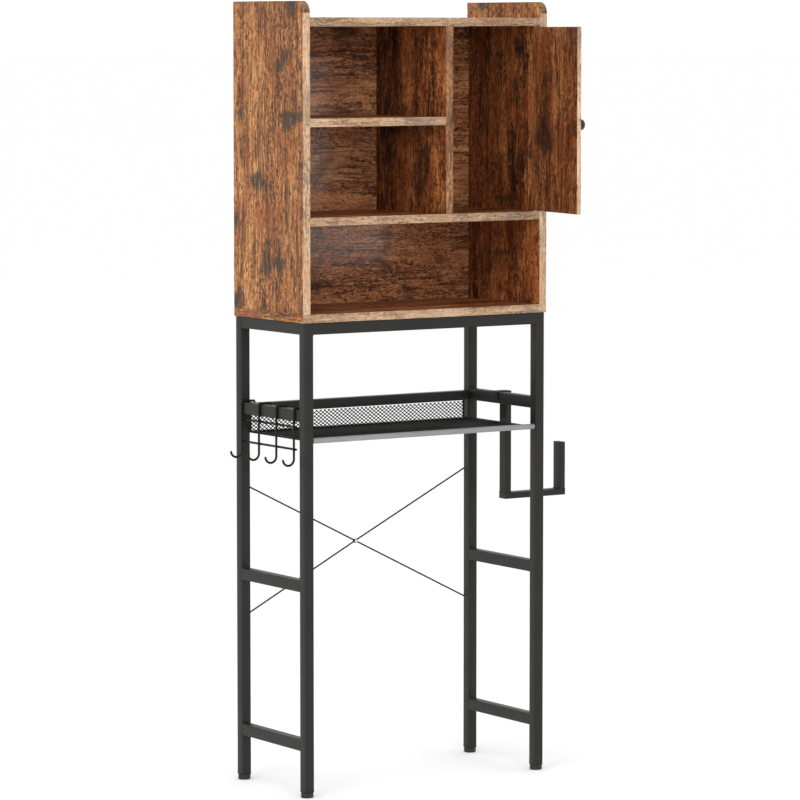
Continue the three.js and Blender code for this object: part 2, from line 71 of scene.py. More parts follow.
# Frame of welded square tube.
TUBE_WALL = 1.2 * MM
TUBE_CORNER = 1.4 * MM
FILLET_WELD = 1.5 * MM
SEAM_WELD = 1.0 * MM
SEAM_PROUD = 0.35 * MM
STUD_RADIUS = 3 * MM
THREAD_PITCH = 1 * MM
THREAD_DEPTH = 0.45 * MM
GLIDE_RIBS = 28
EYE_RADIUS = 6 * MM
EYE_HOLE = 2.2 * MM
EYE_THICK = 2 * MM
MIDDLE_EYE_RADIUS = 4.5 * MM
FOOT_TOP = 11 * MM
BRACE_RADIUS = 1.75 * MM
BOLT_HEAD = 4 * MM

# Tray of expanded metal: diamonds, the strand between them and the folded hem.
DIAMOND_LONG = 10.6 * MM
DIAMOND_SHORT = 8 * MM
STRAND_WIDE = 2.1 * MM
STRAND_THICK = 0.9 * MM
STRAND_TILT = math.radians(32)
KNUCKLE_LONG = 3 * MM
TRAY_BEND = 4 * MM
HEM_WIDE = 5 * MM
TOP_HEM_WIDE = 2 * MM
HEM_THICK = 2.2 * MM

# Printed planks of the wood laminate.
PLANK_WIDE = 74 * MM
PLANK_DRIFT = 0.02

# Hook rack and paper holder.
HOOK_WIRE = 2.5 * MM
HOOK_BEND = 13.75 * MM
HOOK_TOP_BEND = 4 * MM
HOOK_INNER_DROP = 18 * MM
HOOK_TIP_TURN = math.radians(172)
HOLDER_PLATE = 2 * MM
HOLDER_BEND = 2.4 * MM

# Where the camera stands, seen from the cabinet's middle, and how it is turned.
CAMERA_PLACE = (-4.8569, -7.1698, 1.6275)
CAMERA_YAW = math.radians(33.515)
CAMERA_PITCH = math.radians(5.241)
CAMERA_FOCAL = 179.8
CAMERA_SENSOR = 36

# The pale room round it, far wider than any view.
FLOOR_REACH = 300
ROOM_LIGHT = 1.03


# ---------------------------------------------------------------- finishes

def colour(text):
    """The linear colour of an sRGB hex value."""
    channels = [int(text[start:start + 2], 16) / 255 for start in (1, 3, 5)]
    linear = [value / 12.92 if value <= 0.04045 else ((value + 0.055) / 1.055) ** 2.4 for value in channels]
    return (*linear, 1)


def add(tree, kind, inputs=None, ramp=None, **settings):
    """Adds a node. Inputs are values or other nodes' sockets; ramp is a list of (position, colour)."""
    made = tree.nodes.new(kind)
    for name, value in settings.items():
        setattr(made, name, value)
    for name, value in (inputs or {}).items():
        if isinstance(value, bpy.types.NodeSocket):
            tree.links.new(value, made.inputs[name])
        else:
            made.inputs[name].default_value = value
    if ramp:
        stops = made.color_ramp.elements
        while len(stops) < len(ramp):
            stops.new(0.5)
        for stop, (position, shade) in zip(stops, ramp):
            stop.position = position
            stop.color = shade
    return made


def new_finish(name, **shader_values):
    """A material with one shader, whose even values are set on its own sockets."""
    finish = bpy.data.materials.new(name)
    finish.use_nodes = True
    tree = finish.node_tree
    tree.nodes.clear()
    even = {key.replace("_", " "): value for key, value in shader_values.items()}
    shader = add(tree, "ShaderNodeBsdfPrincipled", even)
    add(tree, "ShaderNodeOutputMaterial", {"Surface": shader.outputs[0]})
    return finish, tree, shader


def laminate(name, across, along, palette, shift, knots=1.0, cracks=0.75, rough=0.52, coat=0.0):
    """Rustic melamine laminate: a printed paper of old planks, satin, with pores pressed in.

    The grain runs on the along axis. The palette holds hex colours for dark, middle, light and reddish
    grain, and for knots. Coat is how much clear varnish lies on top.
    """
    sheen = {"Specular_IOR_Level": 0.25, "Coat_Weight": coat, "Coat_Roughness": 0.22}
    finish, tree, shader = new_finish(name, IOR=1.5, **sheen)
    through = ({X, Y, Z} - {across, along}).pop()
    place = add(tree, "ShaderNodeTexCoord").outputs["Object"]
    axes = add(tree, "ShaderNodeSeparateXYZ", {0: place}).outputs

    def maths(operation, first, second):
        made = add(tree, "ShaderNodeMath", {0: first, 1: second}, operation=operation)
        return made.outputs[0]

    def noise(wide, long, detail, source, turn):
        """Noise whose cells are wide by long millimetres, the long way on the grain."""
        scale = (1 / (wide * MM), 1 / (long * MM), 1 / (wide * MM))
        offset = (shift + turn, 2.3 * shift + turn, 0)
        scaled = add(tree, "ShaderNodeMapping", {"Vector": source, "Scale": scale, "Location": offset})
        cells = {"Vector": scaled.outputs[0], "Scale": 1, "Detail": detail, "Roughness": 0.62}
        return add(tree, "ShaderNodeTexNoise", cells).outputs[0]

    def fade(value, start, stop, low=0.0, high=1.0):
        """Low at start, high at stop and straight between; start may be above stop."""
        made = add(tree, "ShaderNodeMapRange", {0: value, 1: start, 2: stop, 3: low, 4: high})
        return made.outputs[0]

    def blend(share, under, over):
        return add(tree, "ShaderNodeMix", {0: share, 6: under, 7: over}, data_type="RGBA").outputs[2]

    # The grain wanders a few millimetres sideways along a plank.
    flat = add(tree, "ShaderNodeCombineXYZ", {0: axes[across], 1: axes[along], 2: axes[through]}).outputs[0]
    wander = maths("MULTIPLY", maths("SUBTRACT", noise(90, 260, 2, flat, 5), 0.5), 22 * MM)
    sideways = maths("ADD", axes[across], wander)
    grain = add(tree, "ShaderNodeCombineXYZ", {0: sideways, 1: axes[along], 2: axes[through]}).outputs[0]

    # Real fibres are a quarter of a millimetre wide; they are drawn wider so that they show.
    planks = noise(46, 380, 2, grain, 1)
    streaks = noise(7, 85, 4, grain, 2)
    fibres = noise(3, 19, 3, grain, 3)
    speckle = noise(4.5, 8, 4, grain, 4)
    tone = maths("ADD", maths("MULTIPLY", planks, 0.22), maths("MULTIPLY", streaks, 0.22))
    tone = maths("ADD", tone, maths("ADD", maths("MULTIPLY", fibres, 0.28), maths("MULTIPLY", speckle, 0.28)))
    # Each printed plank is a little darker or lighter than the next one, with a thin dark seam between.
    count = maths("DIVIDE", maths("ADD", sideways, (10 + shift) * PLANK_WIDE), PLANK_WIDE)
    own = add(tree, "ShaderNodeTexWhiteNoise", {"W": maths("FLOOR", count, 0)}, noise_dimensions="1D")
    tone = maths("ADD", tone, fade(own.outputs[0], 0, 1, -PLANK_DRIFT, PLANK_DRIFT))
    off_middle = maths("ABSOLUTE", maths("SUBTRACT", maths("FRACT", count, 0), 0.5), 0)
    seam = maths("MULTIPLY", fade(off_middle, 0.478, 0.494), 0.6)
    dark, middle, light, red, smudge = [colour(text) for text in palette]
    stops = [(0.432, dark), (0.498, middle), (0.57, light)]
    wood = add(tree, "ShaderNodeValToRGB", {0: tone}, stops).outputs[0]
    warm = blend(fade(noise(38, 130, 2, grain, 6), 0.48, 0.66, 0, 0.6), wood, red)

    # Long dark cracks, drawn three millimetres wide, that come and go along the planks.
    ridge = maths("ABSOLUTE", maths("SUBTRACT", noise(27, 600, 3, grain, 7), 0.5), 0)
    stretch = fade(noise(60, 110, 2, grain, 10), 0.42, 0.58)
    crack = maths("MULTIPLY", maths("MULTIPLY", fade(ridge, 0.04, 0.008), stretch), cracks)
    # Short pores and worm marks, gathered in patches.
    patches = fade(noise(32, 60, 3, grain, 8), 0.4, 0.54)
    pores = fade(noise(4.2, 10, 2, grain, 9), 0.545, 0.585)
    marks = maths("MAXIMUM", crack, maths("MULTIPLY", maths("MULTIPLY", patches, pores), cracks))
    marks = maths("MAXIMUM", marks, maths("MULTIPLY", seam, cracks))
    marked = blend(marks, warm, [0.35 * value for value in dark[:3]] + [1])

    # Blackish knots, mostly 30 to 60 mm across, striped by the grain that runs through them.
    core = fade(noise(78, 84, 1, flat, 11), 0.59, 0.68)
    stripes = fade(noise(5, 60, 4, grain, 13), 0.38, 0.54, 0.35, 1)
    knot = maths("MULTIPLY", maths("MULTIPLY", core, stripes), 0.95 * knots)
    tree.links.new(blend(knot, marked, smudge), shader.inputs["Base Color"])

    gloss = fade(fibres, 0.3, 0.7, rough - 0.08, rough + 0.08)
    tree.links.new(gloss, shader.inputs["Roughness"])
    height = maths("SUBTRACT", maths("MULTIPLY", fibres, 0.5), marks)
    bump = add(tree, "ShaderNodeBump", {"Height": height, "Strength": 0.35, "Distance": 0.2 * MM})
    tree.links.new(bump.outputs[0], shader.inputs["Normal"])
    return finish


def coated(name, shade, worn, rough, grain, depth, **values):
    """A sprayed or moulded skin: an even colour that drifts a little, with a fine orange-peel surface."""
    finish, tree, shader = new_finish(name, **values)
    place = add(tree, "ShaderNodeTexCoord").outputs["Object"]
    drift = add(tree, "ShaderNodeTexNoise", {"Vector": place, "Scale": 1 / (70 * MM), "Detail": 3})
    peel = add(tree, "ShaderNodeTexNoise", {"Vector": place, "Scale": 1 / (grain * MM), "Detail": 2})
    stops = [(0.35, colour(shade)), (0.68, colour(worn))]
    tint = add(tree, "ShaderNodeValToRGB", {0: drift.outputs[0]}, stops)
    tree.links.new(tint.outputs[0], shader.inputs["Base Color"])
    spread_out = {0: peel.outputs[0], 1: 0.3, 2: 0.7, 3: rough - 0.05, 4: rough + 0.07}
    gloss = add(tree, "ShaderNodeMapRange", spread_out)
    tree.links.new(gloss.outputs[0], shader.inputs["Roughness"])
    bump = add(tree, "ShaderNodeBump", {"Height": peel.outputs[0], "Strength": 0.3, "Distance": depth * MM})
    tree.links.new(bump.outputs[0], shader.inputs["Normal"])
    return finish


OUTER = ("#43240f", "#975f33", "#ca9157", "#8f4b25", "#2f2822")
# The inside palette: the outer laminate painted darker and redder, a painted shade for the faces inside the
# cabinet.
INNER_SHADED = ("#2c150a", "#8b502d", "#c27b45", "#8c4320", "#171210")
DOOR_FACE = ("#371a0d", "#7f4928", "#ad7040", "#7e3d1e", "#1c1411")
BACK = ("#4c2b1a", "#b87a52", "#dba06c", "#ad6a45", "#2a201b")
TAPE_PALE = ("#8a6d53", "#c09d7c", "#d2b798", "#bb906b", "#7b6f64")
TAPE_MIDDLE = ("#775c46", "#ac8b6d", "#c0a588", "#a67f60", "#6a5e54")
# The brown tape palette: the pale edge tape painted darker, a painted shade where the tape turns up round the
# side panels' top corners and on the divider's front.
TAPE_SHADED_PALETTE = ("#553822", "#8e6443", "#b0845f", "#845232", "#43372f")

outer_side = laminate("rustic_laminate_outer_side", Y, Z, OUTER, 1.3)
outer_flat = laminate("rustic_laminate_outer_flat", Y, X, OUTER, 4.1)
# Faces inside the cabinet use the darker inside palette: painted shade.
inner_side_shaded = laminate("rustic_laminate_inner_side_painted_shade", Y, Z, INNER_SHADED, 7.9, knots=0.8)
inner_flat_shaded = laminate("rustic_laminate_shelf_painted_shade", Y, X, INNER_SHADED, 3.2, knots=0.6)
door_face = laminate("rustic_laminate_door", Y, Z, DOOR_FACE, 5.6, knots=0.8)
back_face = laminate("varnished_fibreboard_back", Z, X, BACK, 9.4, knots=0.7, rough=0.4, coat=1.0)
tape_upright = laminate("printed_edge_tape_upright", X, Z, TAPE_PALE, 2.2, knots=0.6, cracks=0.25)
tape_level = laminate("printed_edge_tape_level", Z, X, TAPE_MIDDLE, 6.7, knots=0.7, cracks=0.25)
tape_deep = laminate("printed_edge_tape_deep", X, Y, TAPE_MIDDLE, 8.3, knots=0.5, cracks=0.25)
tape_shaded = laminate("printed_edge_tape_painted_shade", X, Z, TAPE_SHADED_PALETTE, 4.9, knots=0.8, cracks=0.4)
tape_end = laminate("printed_edge_tape_end", Z, Y, OUTER, 3.9, knots=0.4)
BOARD_FINISHES = [outer_side, outer_flat, inner_side_shaded, inner_flat_shaded]
BOARD_FINISHES += [tape_upright, tape_level, tape_shaded, tape_end]
OUT_SIDE, OUT_FLAT, IN_SIDE_SHADED, IN_FLAT_SHADED, TAPE_UP, TAPE_ACROSS, TAPE_SHADE, TAPE_END = range(len(BOARD_FINISHES))

# Polyester powder coat on steel: black, satin, with a fine orange peel that breaks up highlights.
powder = coated("black_powder_coated_steel", "#151512", "#1c1b17", 0.46, 1.6, 0.05, Specular_IOR_Level=0.32)
# The same black coat on wire and on mesh, painted darker than on the tubes: a painted shade.
wire_coat_shaded = coated("black_powder_coated_wire_painted_shade", "#0b0b0a", "#11110f", 0.42, 1.2, 0.03, Specular_IOR_Level=0.22)
# Moulded polypropylene: a little greyer and softer than the coat.
plastic = coated("moulded_black_polypropylene", "#131313", "#191918", 0.5, 0.9, 0.03, IOR=1.49)
# Grey powder coat: lighter and a little shinier than the frame.
grey_coat = coated("grey_powder_coated_steel", "#7c7d7f", "#8a8b8d", 0.36, 1.4, 0.03, IOR=1.5)
# Zinc-plated steel: bright, slightly bluish, with a fine uneven sheen.
zinc = coated("zinc_plated_steel", "#b4b6ba", "#c9cbce", 0.32, 0.8, 0.02, Metallic=1.0)
# Rubber buffer: matt.
rubber = coated("black_rubber", "#161616", "#1c1c1b", 0.75, 0.7, 0.03, IOR=1.52)


# ---------------------------------------------------------------- mesh making

def placed(name, data):
    """A new object in the scene that carries the data."""
    made = bpy.data.objects.new(name, data)
    bpy.context.scene.collection.objects.link(made)
    return made


def piece(name, mesh, finishes, body, slot, *replaced):
    """Makes a mesh or a bmesh into a piece that rides on a body and stands for the replaced nodes."""
    if isinstance(mesh, bmesh.types.BMesh):
        shells = mesh
        bmesh.ops.recalc_face_normals(shells, faces=shells.faces)
        mesh = bpy.data.meshes.new(name)
        shells.to_mesh(mesh)
        shells.free()
        for finish in finishes:
            mesh.materials.append(finish)
    mesh.shade_smooth()
    mesh.set_sharp_from_angle(angle=math.radians(38))
    made = placed(name, mesh)
    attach(made, body)
    if replaced:
        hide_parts(*replaced)
    return made


def shell(bm, rings, finish=0, loop=False):
    """A closed shell through rings of points. A ring of one point is a pole; flat ends get a face."""
    made = [[bm.verts.new(point) for point in ring] for ring in rings]
    pairs = list(zip(made, made[1:] + made[:1])) if loop else list(zip(made, made[1:]))
    for near, far in pairs:
        count = max(len(near), len(far))
        for step in range(count):
            corners = [near[step % len(near)], near[(step + 1) % len(near)]]
            corners += [far[(step + 1) % len(far)], far[step % len(far)]]
            face = bm.faces.new(list(dict.fromkeys(corners)))
            face.material_index = finish
    if not loop:
        for end in (made[0], made[-1]):
            if len(end) > 1:
                bm.faces.new(end).material_index = finish


def block(bm, low, high, edge, finish=0, steps=2):
    """A block between two corners with all its edges rounded."""
    part = bmesh.new()
    bmesh.ops.create_cube(part, size=1)
    size = Vector(high) - Vector(low)
    for vert in part.verts:
        vert.co = Vector(low) + Vector((vert.co[axis] + 0.5) * size[axis] for axis in (X, Y, Z))
    bmesh.ops.bevel(part, geom=part.edges[:], offset=edge, segments=steps, profile=0.5, affect="EDGES")
    for face in part.faces:
        face.material_index = finish
    carried = bpy.data.meshes.new("part")
    part.to_mesh(carried)
    part.free()
    bm.from_mesh(carried)
    bpy.data.meshes.remove(carried)


def round_rectangle(wide, tall, corner, steps=4):
    """Points round a rectangle centred on the origin, with the same count for any size."""
    points = []
    for quarter, (x, y) in enumerate([(1, 1), (-1, 1), (-1, -1), (1, -1)]):
        centre = Vector((x * (wide / 2 - corner), y * (tall / 2 - corner)))
        for step in range(steps + 1):
            angle = (quarter + step / steps) * math.pi / 2
            points.append(centre + corner * Vector((math.cos(angle), math.sin(angle))))
    return points


def circle(radius, sides, shape=None):
    """Points round a circle, whose radius may follow a shape(angle) factor."""
    angles = [2 * math.pi * step / sides for step in range(sides)]
    return [Vector((math.cos(a), math.sin(a))) * radius * (shape(a) if shape else 1) for a in angles]


def hexagon(angle):
    """How much further out a hexagon lies than the circle inside it."""
    return 1 / math.cos((angle + math.pi / 6) % (math.pi / 3) - math.pi / 6)


def turned(bm, profile, place, sides=32, finish=0):
    """A turned solid. The profile's rows are (radius, height) or (radius, height, shape)."""
    rings = []
    for radius, height, *shape in profile:
        outline = circle(radius, sides, *shape) if radius else [Vector((0, 0))]
        rings.append([place @ Vector((*point, height)) for point in outline])
    shell(bm, rings, finish)


def tube(bm, low, high, finish=0):
    """A hollow square tube with round corners that fills the box between two corners."""
    size = high - low
    axis = max((X, Y, Z), key=lambda each: size[each])
    first, second = [each for each in (X, Y, Z) if each != axis]
    middle = (low + high) / 2
    rings = []
    for inset, ends in ((0, (low, high)), (TUBE_WALL, (high, low))):
        corner = max(TUBE_CORNER - inset, 0.3 * MM)
        outline = round_rectangle(size[first] - 2 * inset, size[second] - 2 * inset, corner)
        for end in ends:
            ring = []
            for a, b in outline:
                point = Vector((0, 0, 0))
                point[first] = middle[first] + a
                point[second] = middle[second] + b
                point[axis] = end[axis]
                ring.append(point)
            rings.append(ring)
    shell(bm, rings, finish, loop=True)


def swept(bm, points, section, side, finish=0, round_end=0):
    """A section swept along a flat line.

    Side is square to the line's plane, and round_end domes a wire's ends.
    """
    points = [Vector(point) for point in points]
    side = Vector(side).normalized()
    rings = []
    last = len(points) - 1
    for index, point in enumerate(points):
        ahead = (points[min(index + 1, last)] - points[max(index - 1, 0)]).normalized()
        across = ahead.cross(side)
        stations = [(0, 1)]
        if round_end and index in (0, last):
            turns = [step * math.pi / 8 for step in (0, 1, 2, 3)]
            stations = [(round_end * math.sin(turn), math.cos(turn)) for turn in turns]
            if index == 0:
                stations = [(-reach, share) for reach, share in reversed(stations)]
        for reach, share in stations:
            rings.append([point + ahead * reach + (side * a + across * b) * share for a, b in section])
    shell(bm, rings, finish)


def arc(centre, radius, start, end, steps, axes=(X, Z)):
    """Points on an arc in the plane of two axes."""
    points = []
    for step in range(steps + 1):
        angle = start + (end - start) * step / steps
        point = Vector(centre)
        point[axes[0]] += radius * math.cos(angle)
        point[axes[1]] += radius * math.sin(angle)
        points.append(point)
    return points


# ---------------------------------------------------------------- repeated things, by geometry nodes

def new_tree(name, inputs):
    """A geometry node tree with named inputs; gives the tree, its input node and its output node."""
    tree = bpy.data.node_groups.new(name, "GeometryNodeTree")
    tree.is_modifier = True
    for label, kind in [("Geometry", "Geometry"), *inputs]:
        tree.interface.new_socket(label, in_out="INPUT", socket_type=f"NodeSocket{kind}")
    tree.interface.new_socket("Geometry", in_out="OUTPUT", socket_type="NodeSocketGeometry")
    return tree, add(tree, "NodeGroupInput").outputs, add(tree, "NodeGroupOutput").inputs


def grown(name, points, edges, tree, values):
    """Runs a tree over points and edges and gives its result as a plain mesh."""
    seed = bpy.data.meshes.new(name)
    seed.from_pydata(points, edges, [])
    holder = placed(name, seed)
    modifier = holder.modifiers.new(name, "NODES")
    modifier.node_group = tree
    for socket in tree.interface.items_tree:
        if socket.name in values:
            modifier[socket.identifier] = values[socket.name]
    graph = bpy.context.evaluated_depsgraph_get()
    mesh = bpy.data.meshes.new_from_object(holder.evaluated_get(graph), depsgraph=graph)
    holder.modifiers.remove(modifier)
    bpy.data.objects.remove(holder)
    return mesh


def pattern_object(name, bm):
    """An object that a tree copies; it is removed when the tree has run."""
    bmesh.ops.recalc_face_normals(bm, faces=bm.faces)
    mesh = bpy.data.meshes.new(name)
    bm.to_mesh(mesh)
    bm.free()
    return placed(name, mesh)


def spread(tree, points, one, finish, scale=None, merge=0):
    """The end of each tree: copies of one thing at points, made real, closed up and painted."""
    copies = {"Points": points, "Instance": one}
    if scale:
        copies["Scale"] = scale
    copied = add(tree, "GeometryNodeInstanceOnPoints", copies)
    solid = add(tree, "GeometryNodeRealizeInstances", {0: copied.outputs[0]})
    if merge:
        solid = add(tree, "GeometryNodeMergeByDistance", {"Geometry": solid.outputs[0], "Distance": merge})
    return add(tree, "GeometryNodeSetMaterial", {"Geometry": solid.outputs[0], "Material": finish}).outputs[0]


def weld_bead_tree():
    """Overlapping drops along every edge of the mesh, as a welding gun leaves them."""
    sockets = [("Drop spacing", "Float"), ("Drop radius", "Float"), ("Seed", "Int"), ("Finish", "Material")]
    tree, given, result = new_tree("weld_bead", sockets)
    line = add(tree, "GeometryNodeMeshToCurve", {"Mesh": given["Geometry"]})
    steps = add(tree, "GeometryNodeResampleCurve", {"Curve": line.outputs[0]}, mode="LENGTH")
    tree.links.new(given["Drop spacing"], steps.inputs["Length"])
    drop = add(tree, "GeometryNodeMeshIcoSphere", {"Radius": given["Drop radius"], "Subdivisions": 2})
    sizes = {"Seed": given["Seed"], 2: 0.85, 3: 1.12}
    uneven = add(tree, "FunctionNodeRandomValue", sizes, data_type="FLOAT").outputs[1]
    painted = spread(tree, steps.outputs[0], drop.outputs[0], given["Finish"], scale=uneven)
    smooth = add(tree, "GeometryNodeSetShadeSmooth", {0: painted})
    tree.links.new(smooth.outputs[0], result["Geometry"])
    return tree


def fastener_tree():
    """One copy of a fastener at every point of the mesh."""
    tree, given, result = new_tree("fastener_row", [("Fastener", "Object"), ("Finish", "Material")])
    source = add(tree, "GeometryNodeObjectInfo", {"Object": given["Fastener"]})
    painted = spread(tree, given["Geometry"], source.outputs["Geometry"], given["Finish"])
    tree.links.new(painted, result["Geometry"])
    return tree


def expanded_sheet_tree():
    """Expanded metal: one cell at every point of two grids, the second set half a diamond over."""
    sockets = [("Cell", "Object"), ("Long way", "Float"), ("Short way", "Float"), ("Columns", "Int")]
    sockets += [("Rows", "Int"), ("Finish", "Material")]
    tree, given, result = new_tree("expanded_metal", sockets)

    def maths(operation, first, second):
        return add(tree, "ShaderNodeMath", {0: first, 1: second}, operation=operation).outputs[0]

    wide = maths("MULTIPLY", given["Long way"], maths("SUBTRACT", given["Columns"], 1))
    deep = maths("MULTIPLY", given["Short way"], maths("SUBTRACT", given["Rows"], 1))
    sizes = {"Size X": wide, "Size Y": deep, "Vertices X": given["Columns"], "Vertices Y": given["Rows"]}
    grid = add(tree, "GeometryNodeMeshGrid", sizes)
    half_long = maths("MULTIPLY", given["Long way"], 0.25)
    half_short = maths("MULTIPLY", given["Short way"], 0.25)
    both = add(tree, "GeometryNodeJoinGeometry")
    for sign in (1, -1):
        over = [maths("MULTIPLY", value, sign) for value in (half_long, half_short)]
        step = add(tree, "ShaderNodeCombineXYZ", {0: over[0], 1: over[1]})
        moved = {"Geometry": grid.outputs["Mesh"], "Translation": step.outputs[0]}
        tree.links.new(add(tree, "GeometryNodeTransform", moved).outputs[0], both.inputs[0])
    cell = add(tree, "GeometryNodeObjectInfo", {"Object": given["Cell"]})
    one = cell.outputs["Geometry"]
    painted = spread(tree, both.outputs[0], one, given["Finish"], merge=0.05 * MM)
    tree.links.new(painted, result["Geometry"])
    return tree


weld_beads = weld_bead_tree()
fastener_rows = fastener_tree()
expanded_sheet = expanded_sheet_tree()


def weld(name, lines, body, radius, seed):
    """Weld beads along straight lines, each given by its two ends."""
    points = [end for line in lines for end in line]
    edges = [(2 * index, 2 * index + 1) for index in range(len(lines))]
    values = {"Drop spacing": 0.75 * radius, "Drop radius": radius, "Seed": seed, "Finish": powder}
    mesh = grown(name, points, edges, weld_beads, values)
    return piece(name, mesh, [powder], body, "black_powder_coat")


def fasteners(name, places, profile, turn, body, finish, slot, *replaced, sides=24):
    """The same fastener at several places. Turn brings its head from +Z to where it faces."""
    bm = bmesh.new()
    turned(bm, profile, turn, sides)
    one = pattern_object(name + "_pattern", bm)
    mesh = grown(name, places, [], fastener_rows, {"Fastener": one, "Finish": finish})
    bpy.data.objects.remove(one)
    return piece(name, mesh, [finish], body, slot, *replaced)


# ---------------------------------------------------------------- cabinet

def tape(bm, low, high, finish):
    """A strip of edge tape with softly rounded edges."""
    block(bm, low, high, TAPE_ROUND, finish)


def core(bm, low, high, faces):
    """A board's core. Faces gives the finish for each of its six sides as {(axis, sign): finish}."""
    corners = [[low[X], high[X]], [low[Y], high[Y]], [low[Z], high[Z]]]
    verts = {}
    for i in (0, 1):
        for j in (0, 1):
            for k in (0, 1):
                verts[i, j, k] = bm.verts.new((corners[X][i], corners[Y][j], corners[Z][k]))
    for axis in (X, Y, Z):
        for end in (0, 1):
            others = [other for other in (X, Y, Z) if other != axis]
            ring = []
            for a, b in ((0, 0), (1, 0), (1, 1), (0, 1)):
                key = [0, 0, 0]
                key[axis] = end
                key[others[0]] = a
                key[others[1]] = b
                ring.append(verts[tuple(key)])
            bm.faces.new(ring).material_index = faces[axis, 2 * end - 1]


def side_board(name, node, outward, above):
    """A side panel: its tape runs up the front, round the top corner, along the top and down the back."""
    low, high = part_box(node)
    bm = bmesh.new()
    radius = SIDE_CORNER - TAPE
    corner = (low.x, low.y + SIDE_CORNER, high.z - SIDE_CORNER)
    rim = [(low.x, high.y - TAPE, low.z), (low.x, high.y - TAPE, high.z - TAPE)]
    rim += [tuple(point) for point in arc(corner, radius, math.pi / 2, math.pi, 12, (Y, Z))]
    rim += [(low.x, low.y + TAPE, above), (low.x, low.y + TAPE, low.z)]
    near = [bm.verts.new(point) for point in rim]
    far = [bm.verts.new((high.x, y, z)) for x, y, z in rim]
    inward_line = (near, far)[outward < 0]
    outward_line = (far, near)[outward < 0]
    bm.faces.new(outward_line).material_index = OUT_SIDE
    for first, second in zip(range(len(rim)), [*range(1, len(rim)), 0]):
        bm.faces.new([near[first], near[second], far[second], far[first]]).material_index = TAPE_UP
    # Below the top board the inward face takes the darker inside copy of the laminate, a painted shade of the
    # cabinet's inside; above it, the outer copy.
    level = bm.verts.new((inward_line[0].co.x, high.y - TAPE, above))
    inner_low = [inward_line[0], level, inward_line[-2], inward_line[-1]]
    bm.faces.new(inner_low).material_index = IN_SIDE_SHADED
    bm.faces.new([level, *inward_line[1:-1]]).material_index = OUT_SIDE
    middle = (low.x + high.x) / 2
    section = round_rectangle(high.x - low.x, TAPE, TAPE_ROUND, 2)
    front = low.y + TAPE / 2
    swept(bm, [(middle, front, low.z), (middle, front, high.z - SIDE_CORNER)], section, (1, 0, 0), TAPE_UP)
    # Round the top corner and along the top, the tape takes the darker brown copy: painted shade where it
    # turns to face up.
    bend = arc(corner, SIDE_CORNER - TAPE / 2, math.pi / 2, math.pi, 14, (Y, Z))
    line = [Vector((middle, *point[1:])) for point in reversed(bend)]
    line += [(middle, high.y - 1.2 * TAPE, high.z - TAPE / 2)]
    swept(bm, line, section, (1, 0, 0), TAPE_SHADE)
    tape(bm, (low.x, high.y - TAPE, low.z), high, TAPE_UP)
    return piece(name, bm, BOARD_FINISHES, "rack", "rustic_board", node)


def level_board(name, node, top, bottom, ends=None, rear=True):
    """A shelf or a top: tape on its front, on its rear where that shows, and on both ends where they show."""
    low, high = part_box(node)
    bm = bmesh.new()
    inner_low, inner_high = low.copy(), high.copy()
    inner_low.y += TAPE
    if rear:
        inner_high.y -= TAPE
        tape(bm, (low.x, high.y - TAPE, low.z), high, TAPE_ACROSS)
    if ends is not None:
        inner_low.x += TAPE
        inner_high.x -= TAPE
        tape(bm, (low.x, inner_low.y, low.z), (inner_low.x, inner_high.y, high.z), ends)
        tape(bm, (inner_high.x, inner_low.y, low.z), (high.x, inner_high.y, high.z), ends)
    tape(bm, low, (high.x, inner_low.y, high.z), TAPE_ACROSS)
    faces = {(X, -1): TAPE_END, (X, 1): TAPE_END, (Y, -1): TAPE_ACROSS, (Y, 1): TAPE_ACROSS}
    core(bm, inner_low, inner_high, {**faces, (Z, 1): top, (Z, -1): bottom})
    return piece(name, bm, BOARD_FINISHES, "rack", "rustic_board", node)


top_low, top_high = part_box("top_board")
side_board("left_side_board", "left_side_panel", -1, top_high.z)
side_board("right_side_board", "right_side_panel", 1, top_high.z)
# Faces inside the cabinet take the darker inside copy of the laminate: painted shade.
level_board("cabinet_top", "top_board", OUT_FLAT, IN_FLAT_SHADED)
level_board("cabinet_bottom", "bottom_board", IN_FLAT_SHADED, OUT_FLAT, ends=TAPE_END)
level_board("lower_shelf_board", "lower_shelf", IN_FLAT_SHADED, IN_FLAT_SHADED, rear=False)
level_board("middle_shelf_board", "middle_shelf", IN_FLAT_SHADED, IN_FLAT_SHADED, rear=False)


def divider_board():
    low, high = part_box("divider_panel")
    bm = bmesh.new()
    # The divider's faces take the darker inside copy of the laminate and its front the darker tape copy: both
    # painted shade.
    tape(bm, low, (high.x, low.y + TAPE, high.z), TAPE_SHADE)
    flat = {(Z, 1): IN_FLAT_SHADED, (Z, -1): IN_FLAT_SHADED, (Y, 1): TAPE_SHADE, (Y, -1): TAPE_SHADE}
    core(bm, Vector((low.x, low.y + TAPE, low.z)), high, {**flat, (X, 1): IN_SIDE_SHADED, (X, -1): IN_SIDE_SHADED})
    return piece("divider_board", bm, BOARD_FINISHES, "rack", "rustic_board", "divider_panel")


def back_board():
    low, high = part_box("back_panel")
    bm = bmesh.new()
    block(bm, low, high, 0.4 * MM)
    return piece("back_sheet", bm, [back_face], "rack", "back_board", "back_panel")


